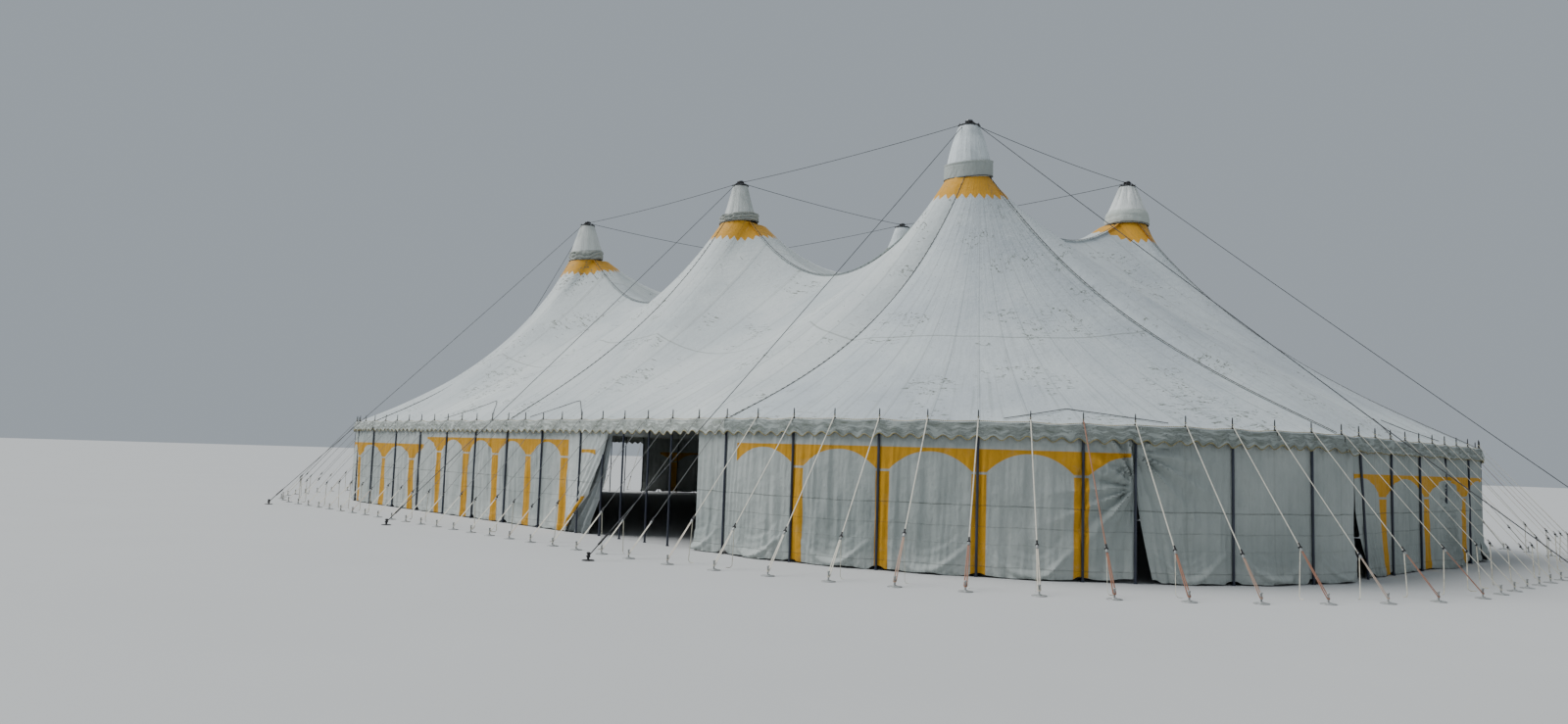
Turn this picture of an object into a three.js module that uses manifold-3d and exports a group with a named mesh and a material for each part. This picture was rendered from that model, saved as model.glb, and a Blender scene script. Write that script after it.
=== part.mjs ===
// Circus big top tent at half scale: six king masts in two rows, twelve laced roof
// canvases with turned-down valances, mast caps, curtain walls on side poles, a guy
// rope at every side pole, and head ropes and stays on the masts.
// Units are millimetres, +Z is up, X runs along the tent and Y across it.
// The origin is on the ground below the centre of the tent.
import * as THREE from "three";
import { mergeVertices } from "three/addons/utils/BufferGeometryUtils.js";
import Module from "manifold-3d";

const wasm = await Module();
wasm.setup();

// Plan
const BAY = 660; // side pole spacing on the straight sides
const SIDE_BAYS = 20; // bays between the corner masts on the front and the back
const END_BAY = 630; // side pole spacing on the ends
const END_BAYS = 10; // bays on each straight end
const CORNER_BAYS = 14; // bays round each corner
const MAST_X = (SIDE_BAYS / 2) * BAY; // corner masts, along the tent
const MAST_Y = 2850; // mast rows, across the tent
const EAVE_X = 13100; // eave line at the ends
const EAVE_Y = 8400; // eave line at the front and the back
const END_HALF = (END_BAYS / 2) * END_BAY; // half of a straight end
const CORNER_TURN = THREE.MathUtils.degToRad(80.6); // turn of the eave line to the end
const CORNER_BOW = 0.362; // fullness of that turn, as a share of its chord
const GAP = 0.4; // clearance where two pieces meet
const SET_LEAD = 0.08; // a set of poles or guys starts this far before its first pole
const SMALL = 1e-6;

// Roof
const EAVE_Z = 1950;
const RING_Z = 6750;
const RING_RADIUS = 410; // inner edge of the canvas round a mast
const CANVAS = 8; // canvas, measured straight down
const HEM_IN = -10; // the flat hem starts this far outside the eave line
const HEM_OUT = 42; // and ends here, above the valance
const VALANCE_DROP = 225;
const VALANCE_SKIN = 6;
const LONG_RIDGE_SAG = 1530; // dip of the lacing between masts of one row
const CROSS_RIDGE_SAG = 730; // dip between the two rows
const MIDDLE_SAG = 420; // extra dip in the centre of a middle canvas
const ROOF_POWER = 0.94; // fall of the roof towards the eave
const SEAM_HOLLOW = 0.7; // hollow of the roof below the middle masts
const CORNER_FRONT_HOLLOW = 1.35; // hollow of the seam to the front and the back
const CORNER_END_HOLLOW = 0.87; // hollow of the seam to the ends
const CORNER_MID_HOLLOW = 1.35; // hollow of the roof in the middle of a corner
const RIDGE_HOLLOW = 0.35; // hollow of the roof below a long ridge
const CROSS_RIDGE_HOLLOW = 0.2; // hollow of the roof below a cross ridge
const CROSS_RIDGE_LEAD = 0.7; // below 1, an end canvas is fullest near its first mast
const FRONT_SEAM_TURN = THREE.MathUtils.degToRad(32); // turn of a corner's seams
const END_SEAM_TURN = THREE.MathUtils.degToRad(27); // round the ring, to the ends
const ROOF_ROWS = 7;
const ROW_SPREAD = 1.5; // crowds the rows towards the mast
const RIDGE_COLUMNS = 6;
const RING_COLUMNS = 3;

// King masts
const MAST_RADIUS = 60;
const MAST_TOP = 7750;
const MAST_SIDES = 8;
const BASE_SIDE = 400;
const BASE_PLATE = 24;
const HEAD_RADIUS = 95;
const HEAD_HEIGHT = 36;
const RING_SIDES = 16;
const RING_OUTER = RING_RADIUS * Math.cos(Math.PI / 8) - GAP; // clears the canvas edge
const RING_INNER = 330;
const RING_DEPTH = 50;
const HOIST_ROPES = 4;
const HOIST_WIDTH = 18;
const HOIST_TOP = 7590;
const HOIST_GRIP = 6; // the ropes end this far inside the ring

// Mast caps
const CAP_SIDES = 16;
const CAP_SKIN = 6;
const CAP_TOP = 7620;
const CAP_TOP_RADIUS = 165;
const CAP_FLARE = 395; // lower edge of the cone
const CAP_FLARE_Z = 7030;
const CAP_WAIST = 446; // upper edge of the gathered skirt
const CAP_WAIST_Z = 7000;
const CAP_FOOT = 430;

// Side poles and curtain walls
const POLE_RADIUS = 16;
const POLE_SIDES = 5;
const POLE_OFFSET = 20; // poles stand in turn outside and inside the curtain
const BELT_HALF = 34;
const BELT_DEPTH = 12;
const BELT_TOP = EAVE_Z - CANVAS - GAP;
const BELT_BOTTOM = BELT_TOP - BELT_DEPTH;
const WALL_SKIN = 4;
const WALL_TOP = BELT_BOTTOM - GAP;
const WALL_FOOT = 4;

// Guy ropes
const GUY_REACH = 1625; // stake distance outside the eave line
const GUY_LINE = 12; // eave rope, outside the eave line
const ROPE = 8;
const SPIKE_HEIGHT = 150;
const SPIKE = 7;
const GUY_START = 52; // loop height on the spike above the hem
const STAKE = 22;
const STAKE_HEIGHT = 125;
const GUY_FOOT = 55; // where the strap holds the stake

// Mast rigging
const COLLAR_OUTER = 88;
const COLLAR_HEIGHT = 40;
const COLLAR_SIDES = 8;
const COLLAR_GRIP = 12; // the ropes start this far inside the collar
const STAY_REACH_Y = 2250; // anchors in front of and behind the eave
const STAY_REACH_X = 2900; // anchors beyond the ends
const STAY = 13;
const ANCHOR = 50;
const ANCHOR_HEIGHT = 110;
const ANCHOR_SIDES = 6;

// Numbers along the eave: pole 0 stands below the left front corner mast, and the
// count runs along the front, round the right end, along the back and round the left.
const FRONT_END = SIDE_BAYS;
const RIGHT_START = FRONT_END + CORNER_BAYS;
const RIGHT_END = RIGHT_START + END_BAYS;
const BACK_START = RIGHT_END + CORNER_BAYS;
const BACK_END = BACK_START + SIDE_BAYS;
const LEFT_START = BACK_END + CORNER_BAYS;
const LEFT_END = LEFT_START + END_BAYS;
const ALL_BAYS = LEFT_END + CORNER_BAYS;
const HALF_BAYS = ALL_BAYS / 2;
const SWAP_POLE = 29; // from here to half way, odd poles stand outside the curtain
const ARC_STEPS = 400;

// Entrances
const DOOR_LEFT = 16; // the front entrance, in pole numbers
const DOOR_RIGHT = 19;
const TIED_BAYS = 2.5; // width of the tied-back curtain at its top
const CURTAIN_FOOT = 0.08; // part of that width left at its foot
const EXIT_FIRST = LEFT_START - 1; // the entrance in the left end
const EXIT_LAST = LEFT_START + 2;

const colours = {
  canvas: 0xd8d6cc,
  cap: 0xdedcd2,
  mast: 0x8c9094,
  pole: 0x20242e,
  curtain: 0xc9c7bd,
  rope: 0xcbbf9c,
  steel: 0x9a9c9c,
};

function paint(colour, metalness = 0, roughness = 0.7) {
  return new THREE.MeshStandardMaterial({ color: colour, metalness, roughness });
}

// Eave line round a corner, as fractions of equal arc length.
const arcTable = (() => {
  const end = new THREE.Vector2(EAVE_X - MAST_X, EAVE_Y - END_HALF);
  const bow = CORNER_BOW * end.length();
  const turned = new THREE.Vector2(Math.cos(CORNER_TURN), Math.sin(CORNER_TURN));
  const line = new THREE.CubicBezierCurve(
    new THREE.Vector2(),
    new THREE.Vector2(bow, 0),
    end.clone().addScaledVector(turned, -bow),
    end,
  );
  const rows = [{ s: 0, x: 0, y: 0 }];
  for (let i = 1; i <= ARC_STEPS; i++) {
    const { x, y } = line.getPoint(i / ARC_STEPS);
    const last = rows[i - 1];
    rows.push({ s: last.s + Math.hypot(x - last.x, y - last.y), x, y });
  }
  return rows;
})();

function cornerPoint(fraction) {
  const wanted = fraction * arcTable[ARC_STEPS].s;
  let i = 1;
  while (i < ARC_STEPS && arcTable[i].s < wanted) i++;
  const a = arcTable[i - 1];
  const b = arcTable[i];
  const k = (wanted - a.s) / (b.s - a.s);
  return new THREE.Vector2(a.x + (b.x - a.x) * k, a.y + (b.y - a.y) * k);
}

// Point on the eave line at a pole number, which may be a fraction.
function eavePoint(number) {
  const n = ((number % ALL_BAYS) + ALL_BAYS) % ALL_BAYS;
  if (n <= FRONT_END) return new THREE.Vector2(-MAST_X + n * BAY, -EAVE_Y);
  if (n < RIGHT_START) {
    const c = cornerPoint((n - FRONT_END) / CORNER_BAYS);
    return new THREE.Vector2(MAST_X + c.x, -EAVE_Y + c.y);
  }
  if (n <= RIGHT_END) {
    return new THREE.Vector2(EAVE_X, -END_HALF + (n - RIGHT_START) * END_BAY);
  }
  if (n < BACK_START) {
    const c = cornerPoint((BACK_START - n) / CORNER_BAYS);
    return new THREE.Vector2(MAST_X + c.x, EAVE_Y - c.y);
  }
  const half = eavePoint(n - HALF_BAYS);
  return new THREE.Vector2(-half.x, -half.y);
}

// Outward direction of the eave line at a pole number.
function outward(number) {
  const step = 0.02;
  const along = eavePoint(number + step).sub(eavePoint(number - step));
  return new THREE.Vector2(along.y, -along.x).normalize();
}

function besideEave(number, offset) {
  return eavePoint(number).addScaledVector(outward(number), offset);
}

function at(point, z) {
  return new THREE.Vector3(point.x, point.y, z);
}

// Closed skin between two grids of points with the same rows and columns. A turned
// cell is cut along its other diagonal.
function skin(outer, inner, isTurned = () => false) {
  const rows = outer.length;
  const columns = outer[0].length;
  const points = [...outer.flat(), ...inner.flat()];
  const shift = rows * columns;
  const index = [];
  const quad = (a, b, c, d) => index.push(a, b, c, a, c, d);
  for (let r = 0; r + 1 < rows; r++) {
    for (let c = 0; c + 1 < columns; c++) {
      const a = r * columns + c;
      const b = a + 1;
      const d = a + columns;
      const e = d + 1;
      if (isTurned(r, c)) {
        quad(b, a, d, e);
        quad(b + shift, e + shift, d + shift, a + shift);
      } else {
        quad(a, d, e, b);
        quad(a + shift, b + shift, e + shift, d + shift);
      }
    }
  }
  for (let c = 0; c + 1 < columns; c++) {
    const last = (rows - 1) * columns + c;
    quad(c, c + 1, c + 1 + shift, c + shift);
    quad(last + 1, last, last + shift, last + 1 + shift);
  }
  for (let r = 0; r + 1 < rows; r++) {
    const a = r * columns;
    const b = a + columns - 1;
    quad(a + columns, a, a + shift, a + columns + shift);
    quad(b, b + columns, b + columns + shift, b + shift);
  }
  const geometry = new THREE.BufferGeometry().setFromPoints(points);
  geometry.setIndex(index);
  return geometry;
}

function solid(geometry) {
  const plain = geometry.clone();
  plain.deleteAttribute("normal");
  plain.deleteAttribute("uv");
  const merged = mergeVertices(plain, 1e-4);
  return new wasm.Manifold(
    new wasm.Mesh({
      numProp: 3,
      vertProperties: new Float32Array(merged.attributes.position.array),
      triVerts: new Uint32Array(merged.index.array),
    }),
  );
}

// Joins overlapping closed pieces into one body.
function join(pieces) {
  let level = pieces.map(solid);
  while (level.length > 1) {
    const next = [];
    for (let i = 0; i < level.length; i += 2) {
      next.push(i + 1 < level.length ? level[i].add(level[i + 1]) : level[i]);
    }
    level = next;
  }
  const mesh = level[0].getMesh();
  const geometry = new THREE.BufferGeometry();
  geometry.setAttribute(
    "position",
    new THREE.BufferAttribute(new Float32Array(mesh.vertProperties), mesh.numProp),
  );
  geometry.setIndex(new THREE.BufferAttribute(new Uint32Array(mesh.triVerts), 1));
  return geometry;
}

// Straight bar between two points, with few sides.
function bar(from, to, width, sides = 4) {
  const along = to.clone().sub(from);
  const geometry = new THREE.CylinderGeometry(
    width / 2 / Math.cos(Math.PI / sides),
    width / 2 / Math.cos(Math.PI / sides),
    along.length(),
    sides,
    1,
  );
  geometry.rotateY(Math.PI / sides);
  geometry.applyQuaternion(
    new THREE.Quaternion().setFromUnitVectors(
      new THREE.Vector3(0, 1, 0),
      along.normalize(),
    ),
  );
  geometry.translate((from.x + to.x) / 2, (from.y + to.y) / 2, (from.z + to.z) / 2);
  return geometry;
}

function upright(point, low, high, radius, sides) {
  const geometry = new THREE.CylinderGeometry(radius, radius, high - low, sides, 1);
  geometry.rotateX(Math.PI / 2);
  geometry.translate(point.x, point.y, (low + high) / 2);
  return geometry;
}

function lathe(profile, sides) {
  const points = profile.map(([r, z]) => new THREE.Vector2(r, z));
  points.push(points[0].clone());
  const geometry = new THREE.LatheGeometry(points, sides);
  geometry.rotateX(Math.PI / 2);
  return geometry;
}

// Draws both ends of a row of points half a gap towards their neighbours.
function drawIn(points) {
  const pull = (end, next) => {
    const along = next.clone().sub(end).setZ(0).normalize();
    end.addScaledVector(along, GAP / 2);
  };
  pull(points[0], points[1]);
  pull(points.at(-1), points.at(-2));
  return points;
}

// Height of the roof between its upper edge (1, at 0) and the eave (0, at 1).
function fall(v, hollow) {
  return Math.pow(1 - v, ROOF_POWER) / (1 + hollow * v);
}

// One roof canvas from its upper edge to the eave. Each column has a point of the
// upper edge, a pole number at the eave and a hollow.
function roofCanvas(columns, settle) {
  const outer = [];
  const inner = [];
  for (let r = 0; r <= ROOF_ROWS; r++) {
    const v = Math.pow(r / ROOF_ROWS, ROW_SPREAD);
    const line = columns.map(({ top, number, hollow }) => {
      const foot = besideEave(number, HEM_IN);
      const rise = (top.z - EAVE_Z) * fall(v, hollow);
      return new THREE.Vector3(
        top.x + (foot.x - top.x) * v,
        top.y + (foot.y - top.y) * v,
        EAVE_Z + rise,
      );
    });
    drawIn(line).forEach(settle);
    outer.push(line);
    inner.push(line.map((p) => p.clone().setZ(p.z - CANVAS)));
  }
  const hem = (offset, z) =>
    drawIn(columns.map(({ number }) => at(besideEave(number, offset), z)));
  outer.push(hem(HEM_OUT + VALANCE_SKIN, EAVE_Z));
  inner.push(hem(HEM_OUT, EAVE_Z - CANVAS));
  outer.push(hem(HEM_OUT + VALANCE_SKIN, EAVE_Z - VALANCE_DROP));
  inner.push(hem(HEM_OUT, EAVE_Z - VALANCE_DROP));
  return skin(outer, inner);
}

function mix(a, b, k) {
  return a + (b - a) * k;
}

// Hollow of the roof along a strip: seam values at its sides, ridge value between.
function stripHollow([left, right], { hollow, lead }, k) {
  const side = mix(left, right, k);
  return mix(side, hollow, Math.sin(Math.PI * Math.pow(k, lead)));
}

// Upper edge of a canvas between two masts: round one ring, along the sagging
// lacing and round the other ring. The canvas lies on the side of the normal, and
// each arc stops the given turns past or short of it.
function ridgeEdge(a, b, { sag }, normal, turns) {
  const span = b.clone().sub(a);
  const length = span.length();
  const along = span.clone().normalize();
  const edge = [];
  const onRing = (centre, x, y) =>
    at(
      centre
        .clone()
        .addScaledVector(along, x * RING_RADIUS)
        .addScaledVector(normal, y * RING_RADIUS),
      RING_Z,
    );
  for (let i = 0; i < RING_COLUMNS; i++) {
    const t = mix(-turns[0], Math.PI / 2, i / RING_COLUMNS);
    edge.push(onRing(a, Math.sin(t), Math.cos(t)));
  }
  for (let i = 0; i <= RIDGE_COLUMNS; i++) {
    const k = i / RIDGE_COLUMNS;
    const d = RING_RADIUS + (length - 2 * RING_RADIUS) * k;
    const dip = sag * (1 - Math.pow(2 * k - 1, 2));
    edge.push(at(a.clone().addScaledVector(along, d), RING_Z - dip));
  }
  for (let i = RING_COLUMNS - 1; i >= 0; i--) {
    const t = mix(-turns[1], Math.PI / 2, i / RING_COLUMNS);
    edge.push(onRing(b, -Math.sin(t), Math.cos(t)));
  }
  return edge;
}

const longRidge = { sag: LONG_RIDGE_SAG, hollow: RIDGE_HOLLOW, lead: 1 };
const crossRidge = {
  sag: CROSS_RIDGE_SAG,
  hollow: CROSS_RIDGE_HOLLOW,
  lead: CROSS_RIDGE_LEAD,
};

function stripCanvas(a, b, ridge, normal, turns, first, last, hollows, settle) {
  const edge = ridgeEdge(a, b, ridge, normal, turns);
  const columns = edge.map((top, i) => {
    const k = i / (edge.length - 1);
    return {
      top,
      number: mix(first, last, k),
      hollow: stripHollow(hollows, ridge, k),
    };
  });
  return roofCanvas(columns, settle);
}

function cornerCanvas(mast, from, to, first, hollows) {
  const columns = [];
  for (let i = 0; i <= CORNER_BAYS; i++) {
    const k = i / CORNER_BAYS;
    const t = mix(from, to, k);
    const side = mix(hollows[0], hollows[1], k);
    columns.push({
      top: at(
        new THREE.Vector2(
          mast.x + RING_RADIUS * Math.cos(t),
          mast.y + RING_RADIUS * Math.sin(t),
        ),
        RING_Z,
      ),
      number: first + i,
      hollow: mix(side, CORNER_MID_HOLLOW, Math.sin(Math.PI * k)),
    });
  }
  return roofCanvas(columns, () => {});
}

// Canvas between four masts: its four sides are the sagging ridges, and its corners
// are cut round the rings.
function middleCanvas(left, right) {
  const xLines = middleLines(left, right);
  const yLines = middleLines(MAST_Y, -MAST_Y);
  const last = xLines.length - 1;
  const outer = [];
  const inner = [];
  for (let r = 0; r <= last; r++) {
    const line = [];
    for (let c = 0; c <= last; c++) {
      let x = xLines[c];
      let y = yLines[r];
      if (r % last === 0 && c % last === 0) {
        const cut = RING_RADIUS * Math.SQRT1_2;
        x += c ? -cut : cut;
        y += r ? cut : -cut;
      }
      const z = middleHeight(x, y, left, right);
      x = THREE.MathUtils.clamp(x, left + GAP / 2, right - GAP / 2);
      y = THREE.MathUtils.clamp(y, GAP / 2 - MAST_Y, MAST_Y - GAP / 2);
      line.push(new THREE.Vector3(x, y, z));
    }
    outer.push(line);
    inner.push(line.map((p) => p.clone().setZ(p.z - CANVAS)));
  }
  return skin(outer, inner, (r, c) => r < last / 2 !== c < last / 2);
}

// Grid lines from one mast to the next: at the masts, at their rings and between.
function middleLines(from, to) {
  const lines = [from];
  const ring = RING_RADIUS * Math.sign(to - from);
  for (let i = 0; i <= RIDGE_COLUMNS; i++) {
    lines.push(mix(from + ring, to - ring, i / RIDGE_COLUMNS));
  }
  lines.push(to);
  return lines;
}

function ridgeFall(offset, half, sag) {
  const k = Math.min(1, Math.abs(offset) / (half - RING_RADIUS));
  return sag * (1 - k * k);
}

function middleHeight(x, y, left, right) {
  const half = (right - left) / 2;
  const off = x - (left + right) / 2;
  const alongX = ridgeFall(off, half, 1);
  const alongY = ridgeFall(y, MAST_Y, 1);
  return (
    RING_Z -
    LONG_RIDGE_SAG * alongX -
    CROSS_RIDGE_SAG * alongY * (1 - alongX) -
    MIDDLE_SAG * alongX * alongY
  );
}

function kingMast() {
  const pieces = [
    upright(new THREE.Vector2(), 0, MAST_TOP, MAST_RADIUS, MAST_SIDES),
    new THREE.BoxGeometry(BASE_SIDE, BASE_SIDE, BASE_PLATE).translate(
      0,
      0,
      BASE_PLATE / 2,
    ),
    upright(
      new THREE.Vector2(),
      MAST_TOP,
      MAST_TOP + HEAD_HEIGHT,
      HEAD_RADIUS,
      MAST_SIDES,
    ),
    lathe(
      [
        [RING_INNER, RING_Z - RING_DEPTH],
        [RING_OUTER, RING_Z - RING_DEPTH],
        [RING_OUTER, RING_Z],
        [RING_INNER, RING_Z],
      ],
      RING_SIDES,
    ),
  ];
  const reach = RING_INNER + HOIST_GRIP;
  for (let i = 0; i < HOIST_ROPES; i++) {
    const t = (2 * Math.PI * i) / HOIST_ROPES;
    pieces.push(
      bar(
        new THREE.Vector3(0, 0, HOIST_TOP),
        new THREE.Vector3(
          reach * Math.cos(t),
          reach * Math.sin(t),
          RING_Z - RING_DEPTH / 2,
        ),
        HOIST_WIDTH,
      ),
    );
  }
  return join(pieces);
}

// Radius of a hole with few sides that clears the mast all round.
function mastHole(sides) {
  return (MAST_RADIUS + GAP) / Math.cos(Math.PI / sides);
}

function mastCap() {
  const hole = mastHole(CAP_SIDES);
  const foot = RING_Z + GAP;
  return lathe(
    [
      [hole, CAP_TOP - CAP_SKIN],
      [CAP_TOP_RADIUS - CAP_SKIN, CAP_TOP - CAP_SKIN],
      [CAP_FLARE - CAP_SKIN, CAP_FLARE_Z - CAP_SKIN],
      [CAP_WAIST - CAP_SKIN, CAP_WAIST_Z - CAP_SKIN],
      [CAP_FOOT - CAP_SKIN, foot],
      [CAP_FOOT, foot],
      [CAP_WAIST, CAP_WAIST_Z],
      [CAP_FLARE, CAP_FLARE_Z],
      [CAP_TOP_RADIUS, CAP_TOP],
      [hole, CAP_TOP],
    ],
    CAP_SIDES,
  );
}

// Flat strip that follows the eave line between two pole numbers.
function eaveStrip(first, last, inside, outside, bottom, top) {
  const stops = [first];
  for (let n = Math.floor(first) + 1; n < last - SMALL; n++) stops.push(n);
  stops.push(last);
  const line = (offset, z) => drawIn(stops.map((n) => at(besideEave(n, offset), z)));
  return skin(
    [line(outside, top), line(outside, bottom)],
    [line(inside, top), line(inside, bottom)],
  );
}

function isOuterPole(number) {
  const n = ((number % HALF_BAYS) + HALF_BAYS) % HALF_BAYS;
  return n % 2 === (n < SWAP_POLE ? 0 : 1);
}

function sidePoles(first, last) {
  const pieces = [
    eaveStrip(first - SET_LEAD, last - SET_LEAD, -BELT_HALF, BELT_HALF, BELT_BOTTOM, BELT_TOP),
  ];
  for (let n = first; n < last; n++) {
    const offset = isOuterPole(n) ? POLE_OFFSET : -POLE_OFFSET;
    const head = (BELT_TOP + BELT_BOTTOM) / 2;
    pieces.push(upright(besideEave(n, offset), 0, head, POLE_RADIUS, POLE_SIDES));
  }
  return join(pieces);
}

function curtainWall(first, last) {
  const half = WALL_SKIN / 2;
  return eaveStrip(first, last, -half, half, WALL_FOOT, WALL_TOP);
}

// Entrance curtain: hung across its bay at the top and tied back below.
function tiedCurtain(first, last, keep) {
  const half = WALL_SKIN / 2;
  const far = mix(first, last, keep);
  const face = (offset) => {
    const near = besideEave(first, offset);
    near.x += GAP;
    return [
      [at(near, WALL_TOP), at(besideEave(last, offset), WALL_TOP)],
      [at(near, WALL_FOOT), at(besideEave(far, offset), WALL_FOOT)],
    ];
  };
  return skin(face(half), face(-half));
}

// Spike, guy rope and stake of one side pole, in the upright plane through them.
function guyGeometry(foot) {
  const reach = GUY_REACH - GUY_LINE;
  const drop = GUY_START + EAVE_Z - GUY_FOOT;
  const slope = drop / reach;
  const high = (ROPE / 2) * Math.hypot(1, slope);
  const ropeZ = (x) => EAVE_Z + GUY_START - (x - GUY_LINE) * slope;
  const inner = GUY_LINE - SPIKE / 2;
  const outer = GUY_LINE + SPIKE / 2;
  const near = GUY_REACH - STAKE / 2;
  const far = GUY_REACH + STAKE / 2;
  const outline = [
    [inner, foot],
    [outer, foot],
    [outer, ropeZ(outer) - high],
    [near, ropeZ(near) - high],
    [near, 0],
    [far, 0],
    [far, STAKE_HEIGHT],
    [near, STAKE_HEIGHT],
    [near, ropeZ(near) + high],
    [outer, ropeZ(outer) + high],
    [outer, EAVE_Z + SPIKE_HEIGHT],
    [inner, EAVE_Z + SPIKE_HEIGHT],
  ];
  const shape = new THREE.Shape(outline.map(([x, z]) => new THREE.Vector2(x, z)));
  const flat = new THREE.ExtrudeGeometry(shape, { depth: SPIKE, bevelEnabled: false });
  return flat.translate(0, 0, -SPIKE / 2);
}

// Eave rope with a spike at each side pole, and from each spike a guy rope to a
// stake in the ground.
function guyRopes(first, last) {
  const pieces = [];
  const low = EAVE_Z + GAP;
  pieces.push(
    eaveStrip(
      first - SET_LEAD,
      last - SET_LEAD,
      GUY_LINE - ROPE / 2,
      GUY_LINE + ROPE / 2,
      low,
      low + ROPE,
    ),
  );
  for (let n = first; n < last; n++) {
    const head = besideEave(n, 0);
    const out = outward(n);
    const guy = guyGeometry(low + ROPE / 2);
    guy.rotateX(Math.PI / 2);
    guy.rotateZ(Math.atan2(out.y, out.x));
    guy.translate(head.x, head.y, 0);
    pieces.push(guy);
  }
  return join(pieces);
}

function mastPoints() {
  const points = [];
  for (const row of [-1, 1]) {
    for (const column of [-1, 0, 1]) {
      points.push(new THREE.Vector2(column * MAST_X, row * MAST_Y));
    }
  }
  return points;
}

// Head ropes between the mast tops and stays from them to the ground, on a collar
// round each mast.
function mastRigging() {
  const masts = mastPoints();
  const low = MAST_TOP - COLLAR_HEIGHT - GAP;
  const z = low + COLLAR_HEIGHT / 2;
  const hole = mastHole(COLLAR_SIDES);
  const pieces = masts.map((mast) =>
    lathe(
      [
        [hole, low],
        [COLLAR_OUTER, low],
        [COLLAR_OUTER, low + COLLAR_HEIGHT],
        [hole, low + COLLAR_HEIGHT],
      ],
      COLLAR_SIDES,
    )
      .rotateZ(Math.PI / COLLAR_SIDES)
      .translate(mast.x, mast.y, 0),
  );
  const reach = COLLAR_OUTER - COLLAR_GRIP;
  const headRope = (a, b) => {
    const along = b.clone().sub(a).normalize();
    pieces.push(
      bar(
        at(a.clone().addScaledVector(along, reach), z),
        at(b.clone().addScaledVector(along, -reach), z),
        STAY,
      ),
    );
  };
  const stay = (mast, x, y) => {
    const foot = new THREE.Vector2(x, y);
    const along = foot.clone().sub(mast).normalize();
    const start = mast.clone().addScaledVector(along, reach);
    pieces.push(
      bar(at(start, z), at(foot, ANCHOR_HEIGHT / 2), STAY),
      upright(foot, 0, ANCHOR_HEIGHT, ANCHOR / 2, ANCHOR_SIDES),
    );
  };
  for (const row of [0, 3]) {
    headRope(masts[row], masts[row + 1]);
    headRope(masts[row + 1], masts[row + 2]);
  }
  for (const column of [0, 1, 2]) headRope(masts[column], masts[column + 3]);
  for (const mast of masts) {
    stay(mast, mast.x, Math.sign(mast.y) * (EAVE_Y + STAY_REACH_Y));
    if (mast.x) stay(mast, Math.sign(mast.x) * (EAVE_X + STAY_REACH_X), mast.y);
  }
  return join(pieces);
}

const bigTop = new THREE.Group();

function place(name, geometry, material, x = 0, y = 0) {
  const mesh = new THREE.Mesh(geometry, material);
  mesh.name = name;
  mesh.position.set(x, y, 0);
  bigTop.add(mesh);
}

const canvas = paint(colours.canvas);
const curtain = paint(colours.curtain);
const rope = paint(colours.rope, 0, 0.85);
const poleSteel = paint(colours.pole, 0.2, 0.5);
const mastSteel = paint(colours.mast, 0.6, 0.45);
const columnNames = ["left", "centre", "right"];
const rowNames = ["front", "back"];

// Side canvases, left and right of the middle masts, front and back.
for (const row of [-1, 1]) {
  for (const half of [-1, 1]) {
    const low = half < 0 ? -MAST_X : 0;
    const high = low + MAST_X;
    const rowName = row < 0 ? "front" : "back";
    const sideName = half < 0 ? "left" : "right";
    const normal = new THREE.Vector2(0, row);
    const from = new THREE.Vector2(row < 0 ? low : high, row * MAST_Y);
    const to = new THREE.Vector2(row < 0 ? high : low, row * MAST_Y);
    const start = row < 0 ? 0 : BACK_START;
    const first = start + (row * half > 0 ? 0 : SIDE_BAYS / 2);
    const cornerFirst = row * half > 0;
    place(
      `roof_${rowName}_${sideName}`,
      stripCanvas(
        from,
        to,
        longRidge,
        normal,
        cornerFirst ? [FRONT_SEAM_TURN, 0] : [0, FRONT_SEAM_TURN],
        first,
        first + SIDE_BAYS / 2,
        cornerFirst
          ? [CORNER_FRONT_HOLLOW, SEAM_HOLLOW]
          : [SEAM_HOLLOW, CORNER_FRONT_HOLLOW],
        (p) => p.setY(row * Math.max(row * p.y, MAST_Y + GAP / 2)),
      ),
      canvas,
    );
  }
}

// End canvases.
for (const side of [1, -1]) {
  place(
    side > 0 ? "roof_right_end" : "roof_left_end",
    stripCanvas(
      new THREE.Vector2(side * MAST_X, -side * MAST_Y),
      new THREE.Vector2(side * MAST_X, side * MAST_Y),
      crossRidge,
      new THREE.Vector2(side, 0),
      [-END_SEAM_TURN, -END_SEAM_TURN],
      side > 0 ? RIGHT_START : LEFT_START,
      side > 0 ? RIGHT_END : LEFT_END,
      [CORNER_END_HOLLOW, CORNER_END_HOLLOW],
      (p) => p.setX(side * Math.max(side * p.x, MAST_X + GAP / 2)),
    ),
    canvas,
  );
}

// Corner canvases.
const corners = [
  { name: "front_right", x: 1, y: -1, quarter: -Math.PI / 2, first: FRONT_END },
  { name: "back_right", x: 1, y: 1, quarter: 0, first: RIGHT_END },
  { name: "back_left", x: -1, y: 1, quarter: Math.PI / 2, first: BACK_END },
  { name: "front_left", x: -1, y: -1, quarter: Math.PI, first: LEFT_END },
];
for (const corner of corners) {
  const frontFirst = corner.x * corner.y < 0;
  place(
    `roof_corner_${corner.name}`,
    cornerCanvas(
      new THREE.Vector2(corner.x * MAST_X, corner.y * MAST_Y),
      corner.quarter + (frontFirst ? FRONT_SEAM_TURN : -END_SEAM_TURN),
      corner.quarter + Math.PI / 2 + (frontFirst ? END_SEAM_TURN : -FRONT_SEAM_TURN),
      corner.first,
      frontFirst
        ? [CORNER_FRONT_HOLLOW, CORNER_END_HOLLOW]
        : [CORNER_END_HOLLOW, CORNER_FRONT_HOLLOW],
    ),
    canvas,
  );
}

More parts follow.
